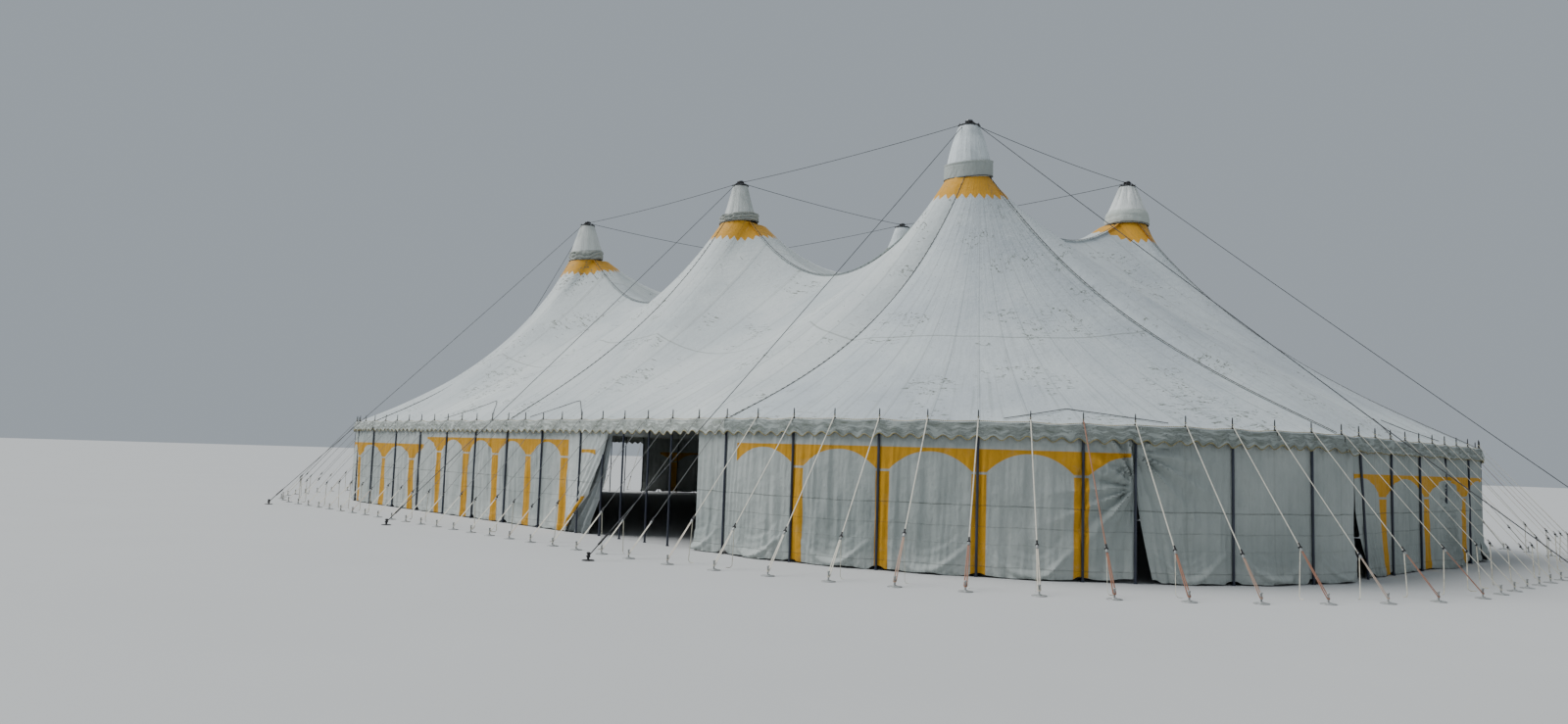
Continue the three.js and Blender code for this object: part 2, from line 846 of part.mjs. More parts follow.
// Middle canvases between the two mast rows.
place("roof_middle_left", middleCanvas(-MAST_X, 0), canvas);
place("roof_middle_right", middleCanvas(0, MAST_X), canvas);

// King masts and their caps.
mastPoints().forEach((mast, i) => {
  const name = `${rowNames[Math.floor(i / 3)]}_${columnNames[i % 3]}`;
  place(`king_mast_${name}`, kingMast(), mastSteel, mast.x, mast.y);
  place(`mast_cap_${name}`, mastCap(), paint(colours.cap), mast.x, mast.y);
});

// Curtain walls, side poles and guy ropes.
const walls = {
  wall_front_left: [0, DOOR_LEFT - TIED_BAYS],
  wall_corner_front_right: [DOOR_RIGHT, RIGHT_START],
  wall_right_end: [RIGHT_START, RIGHT_END],
  wall_corner_back_right: [RIGHT_END, BACK_START],
  wall_back: [BACK_START, BACK_END],
  wall_corner_back_left: [BACK_END, EXIT_FIRST],
  wall_left_end: [EXIT_LAST, LEFT_END],
  wall_corner_front_left: [LEFT_END, ALL_BAYS],
};
for (const [name, [first, last]] of Object.entries(walls)) {
  place(name, curtainWall(first, last), curtain);
}
place(
  "entrance_curtain",
  tiedCurtain(DOOR_LEFT - TIED_BAYS, DOOR_LEFT, CURTAIN_FOOT),
  curtain,
);

const poleSets = {
  side_poles_front_left: [0, DOOR_LEFT],
  side_poles_entrance: [DOOR_LEFT, FRONT_END],
  side_poles_corner_front_right: [FRONT_END, RIGHT_START],
  side_poles_right_end: [RIGHT_START, RIGHT_END],
  side_poles_corner_back_right: [RIGHT_END, BACK_START],
  side_poles_back: [BACK_START, BACK_END],
  side_poles_corner_back_left: [BACK_END, EXIT_FIRST],
  side_poles_left_entrance: [EXIT_FIRST, EXIT_LAST + 1],
  side_poles_left_end: [EXIT_LAST + 1, LEFT_END],
  side_poles_corner_front_left: [LEFT_END, ALL_BAYS],
};
for (const [name, [first, last]] of Object.entries(poleSets)) {
  place(name, sidePoles(first, last), poleSteel);
}

const cornerMiddle = CORNER_BAYS / 2;
const guySets = {
  guy_ropes_front: [-cornerMiddle, FRONT_END + cornerMiddle],
  guy_ropes_right: [FRONT_END + cornerMiddle, RIGHT_END + cornerMiddle],
  guy_ropes_back: [RIGHT_END + cornerMiddle, BACK_END + cornerMiddle],
  guy_ropes_left: [BACK_END + cornerMiddle, ALL_BAYS - cornerMiddle],
};
for (const [name, [first, last]] of Object.entries(guySets)) {
  place(name, guyRopes(first, last), rope);
}

place("mast_rigging", mastRigging(), paint(colours.steel, 0.5, 0.5));

export default bigTop;
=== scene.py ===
"""Circus big top tent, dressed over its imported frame.

Every length is in metres at the half scale of the frame. The eave is counted in side
poles: pole 0 stands below the left front corner mast and the count runs along the
front, round the right end, along the back and round the left end.
"""

import logging
import math
from collections.abc import Callable
from dataclasses import dataclass, field
from enum import Enum

import bpy
import numpy as np
from mathutils import Matrix, Vector


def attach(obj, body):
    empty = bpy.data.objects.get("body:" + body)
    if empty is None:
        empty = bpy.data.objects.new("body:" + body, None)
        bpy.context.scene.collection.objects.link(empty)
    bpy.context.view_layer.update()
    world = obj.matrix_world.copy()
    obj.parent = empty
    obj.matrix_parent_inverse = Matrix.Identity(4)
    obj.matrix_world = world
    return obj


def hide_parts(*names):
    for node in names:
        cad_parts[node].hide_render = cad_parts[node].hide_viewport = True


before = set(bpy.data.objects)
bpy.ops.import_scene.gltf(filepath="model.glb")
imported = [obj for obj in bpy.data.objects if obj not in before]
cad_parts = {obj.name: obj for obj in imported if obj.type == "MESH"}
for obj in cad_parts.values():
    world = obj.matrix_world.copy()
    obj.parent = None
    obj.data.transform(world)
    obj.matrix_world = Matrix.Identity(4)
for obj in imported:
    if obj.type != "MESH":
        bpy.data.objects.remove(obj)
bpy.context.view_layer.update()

LOG = logging.getLogger("big_top")
Piece = bpy.types.Object
Array = np.ndarray
Pair = tuple[float, float]
Triple = tuple[float, float, float]


# Plan and roof


@dataclass(frozen=True)
class Plan:
    """Places of the masts and of the eave line, as in the part's source."""

    bay: float = 0.66
    end_bay: float = 0.63
    side_bays: int = 20
    end_bays: int = 10
    corner_bays: int = 14
    mast_x: float = 6.6
    mast_y: float = 2.85
    eave_x: float = 13.1
    eave_y: float = 8.4
    end_half: float = 3.15
    corner_turn: float = math.radians(80.6)
    corner_bow: float = 0.362
    eave_z: float = 1.95
    arc_steps: int = 400
    slope_step: float = 0.02

    @property
    def half_count(self) -> int:
        """Poles on half of the eave."""
        return self.side_bays + self.end_bays + 2 * self.corner_bays

    @property
    def count(self) -> int:
        """Poles on the whole eave."""
        return 2 * self.half_count

    def corner(self, share: Array) -> tuple[Array, Array]:
        """Point of a corner's curve.

        Args:
            share: fraction of the corner's arc length.

        Returns:
            The distances along and across the tent from the corner's start.
        """
        t = np.linspace(0.0, 1.0, self.arc_steps + 1)[:, None]
        end = np.array([self.eave_x - self.mast_x, self.eave_y - self.end_half])
        bow = self.corner_bow * np.linalg.norm(end)
        leave = np.array([bow, 0.0])
        arrive = end - bow * np.array([math.cos(self.corner_turn), math.sin(self.corner_turn)])
        x, y = (3 * (1 - t) ** 2 * t * leave + 3 * (1 - t) * t**2 * arrive + t**3 * end).T
        run = np.concatenate([[0.0], np.cumsum(np.hypot(np.diff(x), np.diff(y)))])
        run /= run[-1]
        return np.interp(share, run, x), np.interp(share, run, y)

    def eave(self, number: Array) -> Array:
        """Points of the eave line.

        Args:
            number: pole numbers, which may be fractions.

        Returns:
            Plan points, one row each.
        """
        n = np.mod(np.asarray(number, float), self.count)
        turned = n > self.half_count
        m = np.where(turned, n - self.half_count, n)
        first_corner = self.side_bays
        end_start = first_corner + self.corner_bays
        end_stop = end_start + self.end_bays
        x = np.where(m <= first_corner, m * self.bay - self.mast_x, self.eave_x)
        y = np.where(m <= first_corner, -self.eave_y, (m - end_start) * self.end_bay - self.end_half)
        cx, cy = self.corner((m - first_corner) / self.corner_bays)
        near = (m > first_corner) & (m < end_start)
        x = np.where(near, self.mast_x + cx, x)
        y = np.where(near, cy - self.eave_y, y)
        cx, cy = self.corner((self.half_count - m) / self.corner_bays)
        x = np.where(m > end_stop, self.mast_x + cx, x)
        y = np.where(m > end_stop, self.eave_y - cy, y)
        sign = np.where(turned, -1.0, 1.0)
        return np.stack([x * sign, y * sign], axis=-1)

    def outward(self, number: Array) -> Array:
        """Outward directions of the eave line.

        Args:
            number: pole numbers, which may be fractions.

        Returns:
            Plan directions of length 1, one row each.
        """
        n = np.asarray(number, float)
        along = self.eave(n + self.slope_step) - self.eave(n - self.slope_step)
        out = np.stack([along[..., 1], -along[..., 0]], axis=-1)
        return out / np.linalg.norm(out, axis=-1, keepdims=True)

    def beside(self, number: Array, offset: Array, z: Array) -> Array:
        """Points beside the eave line.

        Args:
            number: pole numbers.
            offset: distances outside the eave line.
            z: heights.

        Returns:
            Points in space, with the shape of the arguments.
        """
        number, offset, z = np.broadcast_arrays(number, offset, z)
        flat = self.eave(number) + self.outward(number) * offset[..., None]
        return np.concatenate([flat, z[..., None]], axis=-1)

    def is_outer(self, number: int) -> bool:
        """Whether a side pole stands outside the curtain."""
        odd_run = self.half_count // 2 <= number % self.count < self.half_count
        return number % 2 == (1 if odd_run else 0)

    def masts(self) -> dict[str, Pair]:
        """Mast names and their plan points."""
        rows = {"front": -self.mast_y, "back": self.mast_y}
        columns = {"left": -self.mast_x, "centre": 0.0, "right": self.mast_x}
        return {f"{r}_{c}": (x, y) for r, y in rows.items() for c, x in columns.items()}


PLAN = Plan()
RING_DROPS = {"front_right": 0.11, "front_left": 0.09}


def mix(a: float, b: float, k: float) -> float:
    """Value between a and b."""
    return a + (b - a) * k


def smooth(value: Array, low: float, high: float) -> Array:
    """Rises smoothly from 0 at low to 1 at high."""
    k = np.clip((np.asarray(value, float) - low) / (high - low), 0.0, 1.0)
    return k * k * (3 - 2 * k)


def fade(away: Array, reach: float) -> Array:
    """1 at a distance of 0, fading out beyond the reach."""
    return np.exp(-((away / reach) ** 2))


def level(turn: float) -> Array:
    """Level direction at an angle round an upright axis."""
    return np.array([math.cos(turn), math.sin(turn), 0.0])


def upright(heights: tuple[float, ...]) -> Array:
    """Points above one another."""
    return np.array([[0.0, 0.0, z] for z in heights])


def ripple(
    u: Array, v: Array, seed: int, u_rate: float, v_rate: float, waves: int = 7
) -> Array:
    """Smooth irregular waves, the same on each run.

    Args:
        u: first coordinate.
        v: second coordinate.
        seed: picks the waves.
        u_rate: usual number of waves for one unit of u.
        v_rate: usual number of waves for one unit of v.
        waves: number of waves added up.

    Returns:
        Heights, mostly between -1 and 1.
    """
    rng = np.random.default_rng(seed)
    total = np.zeros(np.broadcast(u, v).shape)
    for _ in range(waves):
        fu = u_rate * rng.uniform(0.55, 1.6)
        fv = v_rate * rng.uniform(-1.2, 1.2)
        turn = rng.uniform(0, 2 * math.pi)
        total = total + rng.uniform(0.5, 1.0) * np.sin(2 * math.pi * (u * fu + v * fv) + turn)
    return total / math.sqrt(waves)


@dataclass(frozen=True)
class RoofForm:
    """Height of the roof over the plan, as in the part's source."""

    ring_radius: float = 0.41
    ring_z: float = 6.75
    long_sag: float = 1.53
    cross_sag: float = 0.73
    middle_sag: float = 0.42
    power: float = 0.94
    seam_hollow: float = 0.7
    front_hollow: float = 1.35
    end_hollow: float = 0.87
    corner_hollow: float = 1.35
    ridge_hollow: float = 0.35
    cross_ridge_hollow: float = 0.2
    cross_ridge_lead: float = 0.7
    front_turn: float = math.radians(32)
    end_turn: float = math.radians(27)
    ring_columns: int = 3
    ridge_columns: int = 6
    hem_in: float = -0.010
    slump_fade: float = 0.45

    def slump(self, x: Array, y: Array) -> Array:
        """Dip of the canvas round the rings that hang lower.

        Args:
            x: places along the tent.
            y: places across it.

        Returns:
            Distances that the canvas lies lower.
        """
        masts = PLAN.masts()
        total = np.zeros(np.broadcast(x, y).shape)
        for name, drop in RING_DROPS.items():
            away = np.hypot(x - masts[name][0], y - masts[name][1]) - self.ring_radius
            total = total + drop * np.exp(-np.maximum(away, 0) / self.slump_fade)
        return total

    def ridge_edge(
        self, a: Array, b: Array, sag: float, normal: Array,
        turns: Pair, k: float,
    ) -> Array:
        """Point of a strip's upper edge, which goes ring, sagging lacing, ring.

        Args:
            a: first mast.
            b: second mast.
            sag: dip of the lacing.
            normal: direction from the ridge to the eave.
            turns: angles that the edge goes round the rings past the mast row.
            k: place along the edge, from 0 to 1.

        Returns:
            The point in space.
        """
        along = (b - a) / np.linalg.norm(b - a)
        length = float(np.linalg.norm(b - a))
        ring, ridge, radius = self.ring_columns, self.ridge_columns, self.ring_radius
        s = k * (2 * ring + ridge)
        if s < ring:
            t = mix(-turns[0], math.pi / 2, s / ring)
            flat = a + radius * (along * math.sin(t) + normal * math.cos(t))
            return np.array([*flat, self.ring_z])
        if s > ring + ridge:
            t = mix(-turns[1], math.pi / 2, (2 * ring + ridge - s) / ring)
            flat = b + radius * (-along * math.sin(t) + normal * math.cos(t))
            return np.array([*flat, self.ring_z])
        q = (s - ring) / ridge
        flat = a + along * (radius + (length - 2 * radius) * q)
        return np.array([*flat, self.ring_z - sag * (1 - (2 * q - 1) ** 2)])

    def column(self, number: float) -> tuple[Array, float]:
        """Upper end and hollow of a fall line of the roof.

        Args:
            number: pole number at its foot, which may be a fraction.

        Returns:
            The upper end in space, and how hollow the line is.
        """
        n = number % PLAN.count
        if n > PLAN.half_count:
            top, hollow = self.column(n - PLAN.half_count)
            return top * np.array([-1.0, -1.0, 1.0]), hollow
        left, middle, right = (np.array([x, -PLAN.mast_y]) for x in (-PLAN.mast_x, 0, PLAN.mast_x))
        back = np.array([PLAN.mast_x, PLAN.mast_y])
        front, aside = np.array([0.0, -1.0]), np.array([1.0, 0.0])
        half = PLAN.side_bays // 2
        corner = PLAN.side_bays
        end = corner + PLAN.corner_bays
        far = end + PLAN.end_bays
        lead = 1.0
        if n <= half:
            k = n / half
            top = self.ridge_edge(left, middle, self.long_sag, front, (self.front_turn, 0), k)
            sides = (self.front_hollow, self.seam_hollow)
            inner = self.ridge_hollow
        elif n <= corner:
            k = (n - half) / half
            top = self.ridge_edge(middle, right, self.long_sag, front, (0, self.front_turn), k)
            sides = (self.seam_hollow, self.front_hollow)
            inner = self.ridge_hollow
        elif n < end:
            k = (n - corner) / PLAN.corner_bays
            t = mix(self.front_turn - math.pi / 2, self.end_turn, k)
            top = self.ring_point(right, t)
            sides = (self.front_hollow, self.end_hollow)
            inner = self.corner_hollow
        elif n <= far:
            k = (n - end) / PLAN.end_bays
            turns = (-self.end_turn, -self.end_turn)
            top = self.ridge_edge(right, back, self.cross_sag, aside, turns, k)
            sides = (self.end_hollow, self.end_hollow)
            inner, lead = self.cross_ridge_hollow, self.cross_ridge_lead
        else:
            k = (n - far) / PLAN.corner_bays
            t = mix(-self.end_turn, math.pi / 2 - self.front_turn, k)
            top = self.ring_point(back, t)
            sides = (self.end_hollow, self.front_hollow)
            inner = self.corner_hollow
        return top, mix(mix(*sides, k), inner, math.sin(math.pi * k**lead))

    def ring_point(self, mast: Array, turn: float) -> Array:
        """Point of the canvas edge round a mast."""
        flat = mast + self.ring_radius * np.array([math.cos(turn), math.sin(turn)])
        return np.array([*flat, self.ring_z])

    def fall_line(self, number: float, v: Array) -> Array:
        """Points of the roof on one line from its upper edge to the eave.

        Args:
            number: pole number at the foot of the line.
            v: places on the line, from 0 at the edge to 1 at the eave.

        Returns:
            Points in space, one row each.
        """
        top, hollow = self.column(number)
        foot = PLAN.beside(number, self.hem_in, PLAN.eave_z)
        flat = top[:2] + (foot[:2] - top[:2]) * v[:, None]
        rise = (top[2] - PLAN.eave_z) * (1 - v) ** self.power / (1 + hollow * v)
        height = PLAN.eave_z + rise - self.slump(flat[:, 0], flat[:, 1])
        return np.concatenate([flat, height[:, None]], axis=1)

    def point(self, number: float, v: float) -> Array:
        """One point of the roof."""
        return self.fall_line(number, np.array([v]))[0]

    def middle_height(self, x: Array, y: Array, left: float, right: float) -> Array:
        """Height of the canvas between four masts.

        Args:
            x: places along the tent.
            y: places across it.
            left: left masts, along the tent.
            right: right masts.

        Returns:
            Heights.
        """
        half = (right - left) / 2
        off = (x - (left + right) / 2) / (half - self.ring_radius)
        side = y / (PLAN.mast_y - self.ring_radius)
        along = 1 - np.minimum(1.0, np.abs(off)) ** 2
        across = 1 - np.minimum(1.0, np.abs(side)) ** 2
        dip = self.long_sag * along + self.cross_sag * across * (1 - along)
        return self.ring_z - dip - self.middle_sag * along * across - self.slump(x, y)


ROOF = RoofForm()


@dataclass(frozen=True)
class HemSag:
    """Sag of the hem between two spikes, deeper near the loosest pole."""

    usual: float = 0.014
    change: float = 0.007
    loose: float = 0.008
    loose_pole: int = 2
    loose_bays: int = 9

    def dip(self, number: Array) -> Array:
        """Distances that the hem hangs below the line of the spikes.

        Args:
            number: pole numbers, which may be fractions.

        Returns:
            The distances.
        """
        n = np.asarray(number, float)
        half = PLAN.half_count
        away = np.mod(n + half, PLAN.count) - (half + self.loose_pole)
        slack = self.usual + self.change * np.sin(1.9 * np.floor(n))
        slack = slack + self.loose * fade(away, self.loose_bays)
        return slack * np.sin(math.pi * n) ** 2


HEM = HemSag()


# Meshes


class Shape:
    """Points, faces and panel coordinates collected for one mesh."""

    def __init__(self) -> None:
        """Starts empty."""
        self.points: list[Array] = []
        self.marks: list[Array] = []
        self.faces: list[Array] = []
        self.count = 0
        self.cloth_area = 0.0

    def add(self, points: Array, faces: list[Array], marks: Array) -> None:
        """Adds points with their faces and panel coordinates.

        Args:
            points: points, one row each.
            faces: faces by their number of corners, as rows of indices into the points.
            marks: panel coordinates of each point.
        """
        self.points.append(points)
        self.marks.append(marks)
        self.faces += [part + self.count for part in faces]
        self.count += len(points)

    def grid(self, points: Array, marks: Array, closed: bool = False) -> None:
        """Adds a sheet of quads.

        Args:
            points: rows by columns by 3, rows downward, columns anticlockwise.
            marks: rows by columns by 2.
            closed: the last column joins the first.
        """
        rows, columns = points.shape[:2]
        index = np.arange(rows * columns).reshape(rows, columns)
        if closed:
            index = np.concatenate([index, index[:, :1]], axis=1)
        a, b = index[:-1, :-1], index[:-1, 1:]
        d, e = index[1:, :-1], index[1:, 1:]
        quads = np.stack([a, d, e, b], axis=-1).reshape(-1, 4)
        flat = points.reshape(-1, 3)
        diagonals = np.cross(flat[quads[:, 2]] - flat[quads[:, 0]], flat[quads[:, 3]] - flat[quads[:, 1]])
        self.cloth_area += float(np.linalg.norm(diagonals, axis=1).sum() / 2)
        self.add(flat, [quads], marks.reshape(-1, 2))

    def sweep(
        self, path: Array, profile: Array, scale: Array | float = 1.0,
        up: Triple = (0.0, 0.0, 1.0), tint: float = 0.0,
    ) -> None:
        """Adds a closed body that follows a path.

        Args:
            path: points along it.
            profile: its section, as points (aside, up).
            scale: size of the section at each point of the path.
            up: direction that the section's second axis leans to.
            tint: second panel coordinate; the first is the length along the path.
        """
        path = np.asarray(path, float)
        scale = np.broadcast_to(scale, (len(path),))
        tangent = np.gradient(path, axis=0)
        tangent /= np.linalg.norm(tangent, axis=1, keepdims=True) + 1e-12
        lean = np.array(up, float)
        rings = []
        for p, t, s in zip(path, tangent, scale):
            lift = lean - t * lean.dot(t)
            if np.linalg.norm(lift) < 1e-6:
                lift = np.cross(t, [0.0, 1.0, 0.0] if abs(t[1]) < 0.9 else [1.0, 0.0, 0.0])
            lift /= np.linalg.norm(lift)
            aside = np.cross(t, lift)
            rings.append(p + s * (profile[:, :1] * aside + profile[:, 1:] * lift))
            lean = lift
        sides = len(profile)
        rows = len(path)
        index = np.arange(rows * sides).reshape(rows, sides)
        beside = np.roll(index, -1, axis=1)
        quads = np.stack([index[:-1], beside[:-1], beside[1:], index[1:]], axis=-1)
        ends = np.stack([index[0][::-1], index[-1]])
        marks = np.stack([np.repeat(run_along(path), sides), np.full(rows * sides, tint)], axis=1)
        self.add(np.concatenate(rings), [quads.reshape(-1, 4), ends], marks)

    def block(
        self, centre: Array, size: Triple, along: Array,
        bevel: float = 0.15, up: Triple = (0.0, 0.0, 1.0), tint: float = 0.0,
    ) -> None:
        """Adds a block with worn edges.

        Args:
            centre: its middle.
            size: its width, height and length.
            along: direction of its length.
            bevel: cut of its edges, as a share of its width or height.
            up: direction of its height.
            tint: second panel coordinate.
        """
        w, h, length = size[0] / 2, size[1] / 2, size[2] / 2
        c = bevel * min(size[0], size[1])
        profile = np.array(
            [[w - c, -h], [w, c - h], [w, h - c], [w - c, h],
             [c - w, h], [-w, h - c], [-w, c - h], [c - w, -h]]
        )
        along = np.asarray(along, float) / np.linalg.norm(along)
        steps = np.array([-length, c - length, length - c, length])
        shrink = 1 - 1.2 * c / max(w, h)
        scale = np.array([shrink, 1, 1, shrink])
        self.sweep(np.asarray(centre) + steps[:, None] * along, profile, scale, up, tint)

    def lathe(
        self, centre: Pair, profile: list[Pair], sides: int,
        tint: float = 0.0,
    ) -> None:
        """Adds a turned body.

        Args:
            centre: plan point of its axis.
            profile: radius and height of each row, from the top down.
            sides: number of columns.
            tint: added to the second panel coordinate.
        """
        turn = np.arange(sides) * 2 * math.pi / sides
        radius, height = np.array(profile).T
        x = centre[0] + radius[:, None] * np.cos(turn)
        y = centre[1] + radius[:, None] * np.sin(turn)
        z = np.broadcast_to(height[:, None], x.shape)
        run = np.concatenate([[0], np.cumsum(np.hypot(np.diff(radius), np.diff(height)))])
        marks = np.stack(
            [np.broadcast_to(turn, x.shape), np.broadcast_to(run[:, None] + tint, x.shape)], -1
        )
        self.grid(np.stack([x, y, z], -1), marks, closed=True)

    def build(self, name: str, finish: "Finish", sharp: float = 50.0) -> Piece:
        """Makes the object.

        Args:
            name: object name.
            finish: its finish.
            sharp: angle in degrees from which an edge is shaded sharp.

        Returns:
            The new object.
        """
        mesh = bpy.data.meshes.new(name)
        points = np.concatenate(self.points).astype(np.float32)
        loops = np.concatenate([part.ravel() for part in self.faces]).astype(np.int32)
        sizes = np.concatenate([np.full(len(part), part.shape[1]) for part in self.faces])
        starts = np.concatenate([[0], np.cumsum(sizes)[:-1]]).astype(np.int32)
        mesh.vertices.add(len(points))
        mesh.vertices.foreach_set("co", points.ravel())
        mesh.loops.add(len(loops))
        mesh.loops.foreach_set("vertex_index", loops)
        mesh.polygons.add(len(sizes))
        mesh.polygons.foreach_set("loop_start", starts)
        mesh.polygons.foreach_set("use_smooth", np.ones(len(sizes), bool))
        mesh.update(calc_edges=True)
        layer = mesh.uv_layers.new(name="panel")
        marks = np.concatenate(self.marks).astype(np.float32)
        layer.data.foreach_set("uv", marks[loops].ravel())
        mesh.set_sharp_from_angle(angle=math.radians(sharp))
        mesh.validate()
        piece = bpy.data.objects.new(name, mesh)
        bpy.context.scene.collection.objects.link(piece)
        piece.data.materials.append(finish.material())
        LOG.info("%s: %d faces", name, len(sizes))
        return piece


def run_along(path: Array) -> Array:
    """Length along a path at each of its points."""
    return np.concatenate([[0], np.cumsum(np.linalg.norm(np.diff(path, axis=0), axis=1))])


def circle(sides: int, radius: float) -> Array:
    """Section of a round rod."""
    turn = (np.arange(sides) + 0.5) * 2 * math.pi / sides
    return radius * np.stack([np.cos(turn), np.sin(turn)], axis=1)


def strap(width: float, thick: float) -> Array:
    """Section of flat webbing.

    Args:
        width: its width.
        thick: its thickness.

    Returns:
        Points (aside, up).
    """
    w, h, c = width / 2, thick / 2, thick * 0.4
    return np.array(
        [[w, -h + c], [w, h - c], [w - c, h], [c - w, h],
         [-w, h - c], [-w, c - h], [c - w, -h], [w - c, -h]]
    )


def install(piece: Piece, slot: str, *nodes: str) -> Piece:
    """Puts a finished piece on the tent.

    Args:
        piece: the new object.
        slot: material slot of the record; not used.
        nodes: solids that it stands for.

    Returns:
        The piece.
    """
    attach(piece, "root")
    if nodes:
        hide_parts(*nodes)
    return piece


# Finishes


Colour = tuple[float, float, float, float]


def shade(red: int, green: int, blue: int) -> Colour:
    """Linear colour of a screen colour.

    Args:
        red: red, from 0 to 255.
        green: green.
        blue: blue.

    Returns:
        Red, green, blue and opacity, as a shader takes them.
    """
    screen = (channel / 255 for channel in (red, green, blue))
    return (*(s / 12.92 if s <= 0.04045 else ((s + 0.055) / 1.055) ** 2.4 for s in screen), 1.0)


class Field:
    """A number, vector or colour that changes over the surface, for plain arithmetic."""

    def __init__(self, graph: "Graph", socket: bpy.types.NodeSocket) -> None:
        """Stands for one socket of a graph."""
        self.graph = graph
        self.socket = socket

    def math(self, operation: str, *others: "Value") -> "Field":
        """Result of a Math node on this number and others."""
        return self.graph.add("ShaderNodeMath", self, *others, operation=operation)

    def __add__(self, other: "Value") -> "Field":
        """Sum."""
        return self.math("ADD", other)

    def __sub__(self, other: "Value") -> "Field":
        """Difference."""
        return self.math("SUBTRACT", other)

    def __rsub__(self, other: float) -> "Field":
        """Difference from a plain number."""
        return self.graph.add("ShaderNodeMath", other, self, operation="SUBTRACT")

    def __mul__(self, other: "Value") -> "Field":
        """Product."""
        return self.math("MULTIPLY", other)

    def __truediv__(self, other: "Value") -> "Field":
        """Quotient."""
        return self.math("DIVIDE", other)

    def __abs__(self) -> "Field":
        """Distance from 0."""
        return self.math("ABSOLUTE")

    def parts(self) -> list["Field"]:
        """The three numbers of a vector."""
        return [Field(self.graph, s) for s in self.graph.node("ShaderNodeSeparateXYZ", self).outputs]

    def stretch(self, x: float, y: float, z: float = 1.0) -> "Field":
        """Vector with its axes scaled."""
        return self.graph.add("ShaderNodeVectorMath", self, (x, y, z), operation="MULTIPLY")

    def noise(self, scale: float, detail: float = 3.0, rough: float = 0.55) -> "Field":
        """Noise at the place that this vector gives."""
        return self.graph.add("ShaderNodeTexNoise", self, 0.0, scale, detail, rough)

    def span(self, low: float, high: float, to: Pair = (0.0, 1.0)) -> "Field":
        """Number moved smoothly from low..high to another range."""
        return self.graph.add("ShaderNodeMapRange", self, low, high, *to, interpolation_type="SMOOTHSTEP")

    def line(self, centre: float, half: float, soft: float) -> "Field":
        """1 on a line of the given half width, fading over soft."""
        return abs(self - centre).span(half + soft, half)

    def tinted(self, other: Colour, share: "Field") -> "Field":
        """This colour mixed towards another by a share."""
        return self.graph.blend(share, self, other)


Value = Field | float


class Graph:
    """Nodes of one material or group."""

    def __init__(self, tree: bpy.types.NodeTree) -> None:
        """Works in the given tree."""
        self.tree = tree

    def feed(self, socket: bpy.types.NodeSocket, value: object) -> None:
        """Links a socket, or sets its own value.

        Args:
            socket: an input socket.
            value: a field to link, or a plain value.
        """
        if isinstance(value, Field):
            self.tree.links.new(value.socket, socket)
        else:
            socket.default_value = value

    def node(self, kind: str, *inputs: object, **settings: object) -> bpy.types.Node:
        """Adds a node.

        Args:
            kind: its type.
            inputs: what its first sockets take.
            settings: its properties.

        Returns:
            The node.
        """
        node = self.tree.nodes.new(kind)
        for key, value in settings.items():
            setattr(node, key, value)
        for socket, value in zip(node.inputs, inputs):
            self.feed(socket, value)
        return node

    def add(self, kind: str, *inputs: object, **settings: object) -> Field:
        """First output of a new node, which is made as in node()."""
        return Field(self, self.node(kind, *inputs, **settings).outputs[0])

    def blend(self, factor: Field, a: Field | Colour, b: Colour) -> Field:
        """Mixed colour.

        Args:
            factor: share of the second colour.
            a: first colour.
            b: second colour.

        Returns:
            The colour.
        """
        node = self.node("ShaderNodeMix", factor, data_type="RGBA")
        self.feed(node.inputs[6], a)
        self.feed(node.inputs[7], b)
        return Field(self, node.outputs[2])

    def panel(self) -> Field:
        """Panel coordinates of the mesh."""
        return self.add("ShaderNodeUVMap", uv_map="panel")

    def place(self) -> Field:
        """Place on the object, in metres."""
        return Field(self, self.node("ShaderNodeTexCoord").outputs["Object"])

    def group(self, name: str, **inputs: Value) -> dict[str, Field]:
        """Places one of the shared effects.

        Args:
            name: name of the effect.
            inputs: what its inputs take.

        Returns:
            Its outputs by name.
        """
        node = self.node("ShaderNodeGroup", node_tree=EFFECTS[name].tree(name))
        for key, value in inputs.items():
            self.feed(node.inputs[key], value)
        return {socket.name: Field(self, socket) for socket in node.outputs}

    @property
    def shader(self) -> bpy.types.Node:
        """The material's own shader."""
        return self.tree.nodes["Principled BSDF"]

    def surface(
        self, colour: Field, rough: Value, height: Field | None = None, depth: float = 0.0,
        strength: float = 1.0,
    ) -> None:
        """Feeds the material's shader.

        Args:
            colour: base colour.
            rough: roughness.
            height: relief, if the surface has any.
            depth: height in metres that 1 stands for.
            strength: strength of the relief.
        """
        self.feed(self.shader.inputs["Base Color"], colour)
        self.feed(self.shader.inputs["Roughness"], rough)
        if height is not None:
            bump = self.node("ShaderNodeBump")
            for name, value in (("Strength", strength), ("Distance", depth), ("Height", height)):
                self.feed(bump.inputs[name], value)
            self.feed(self.shader.inputs["Normal"], Field(self, bump.outputs[0]))


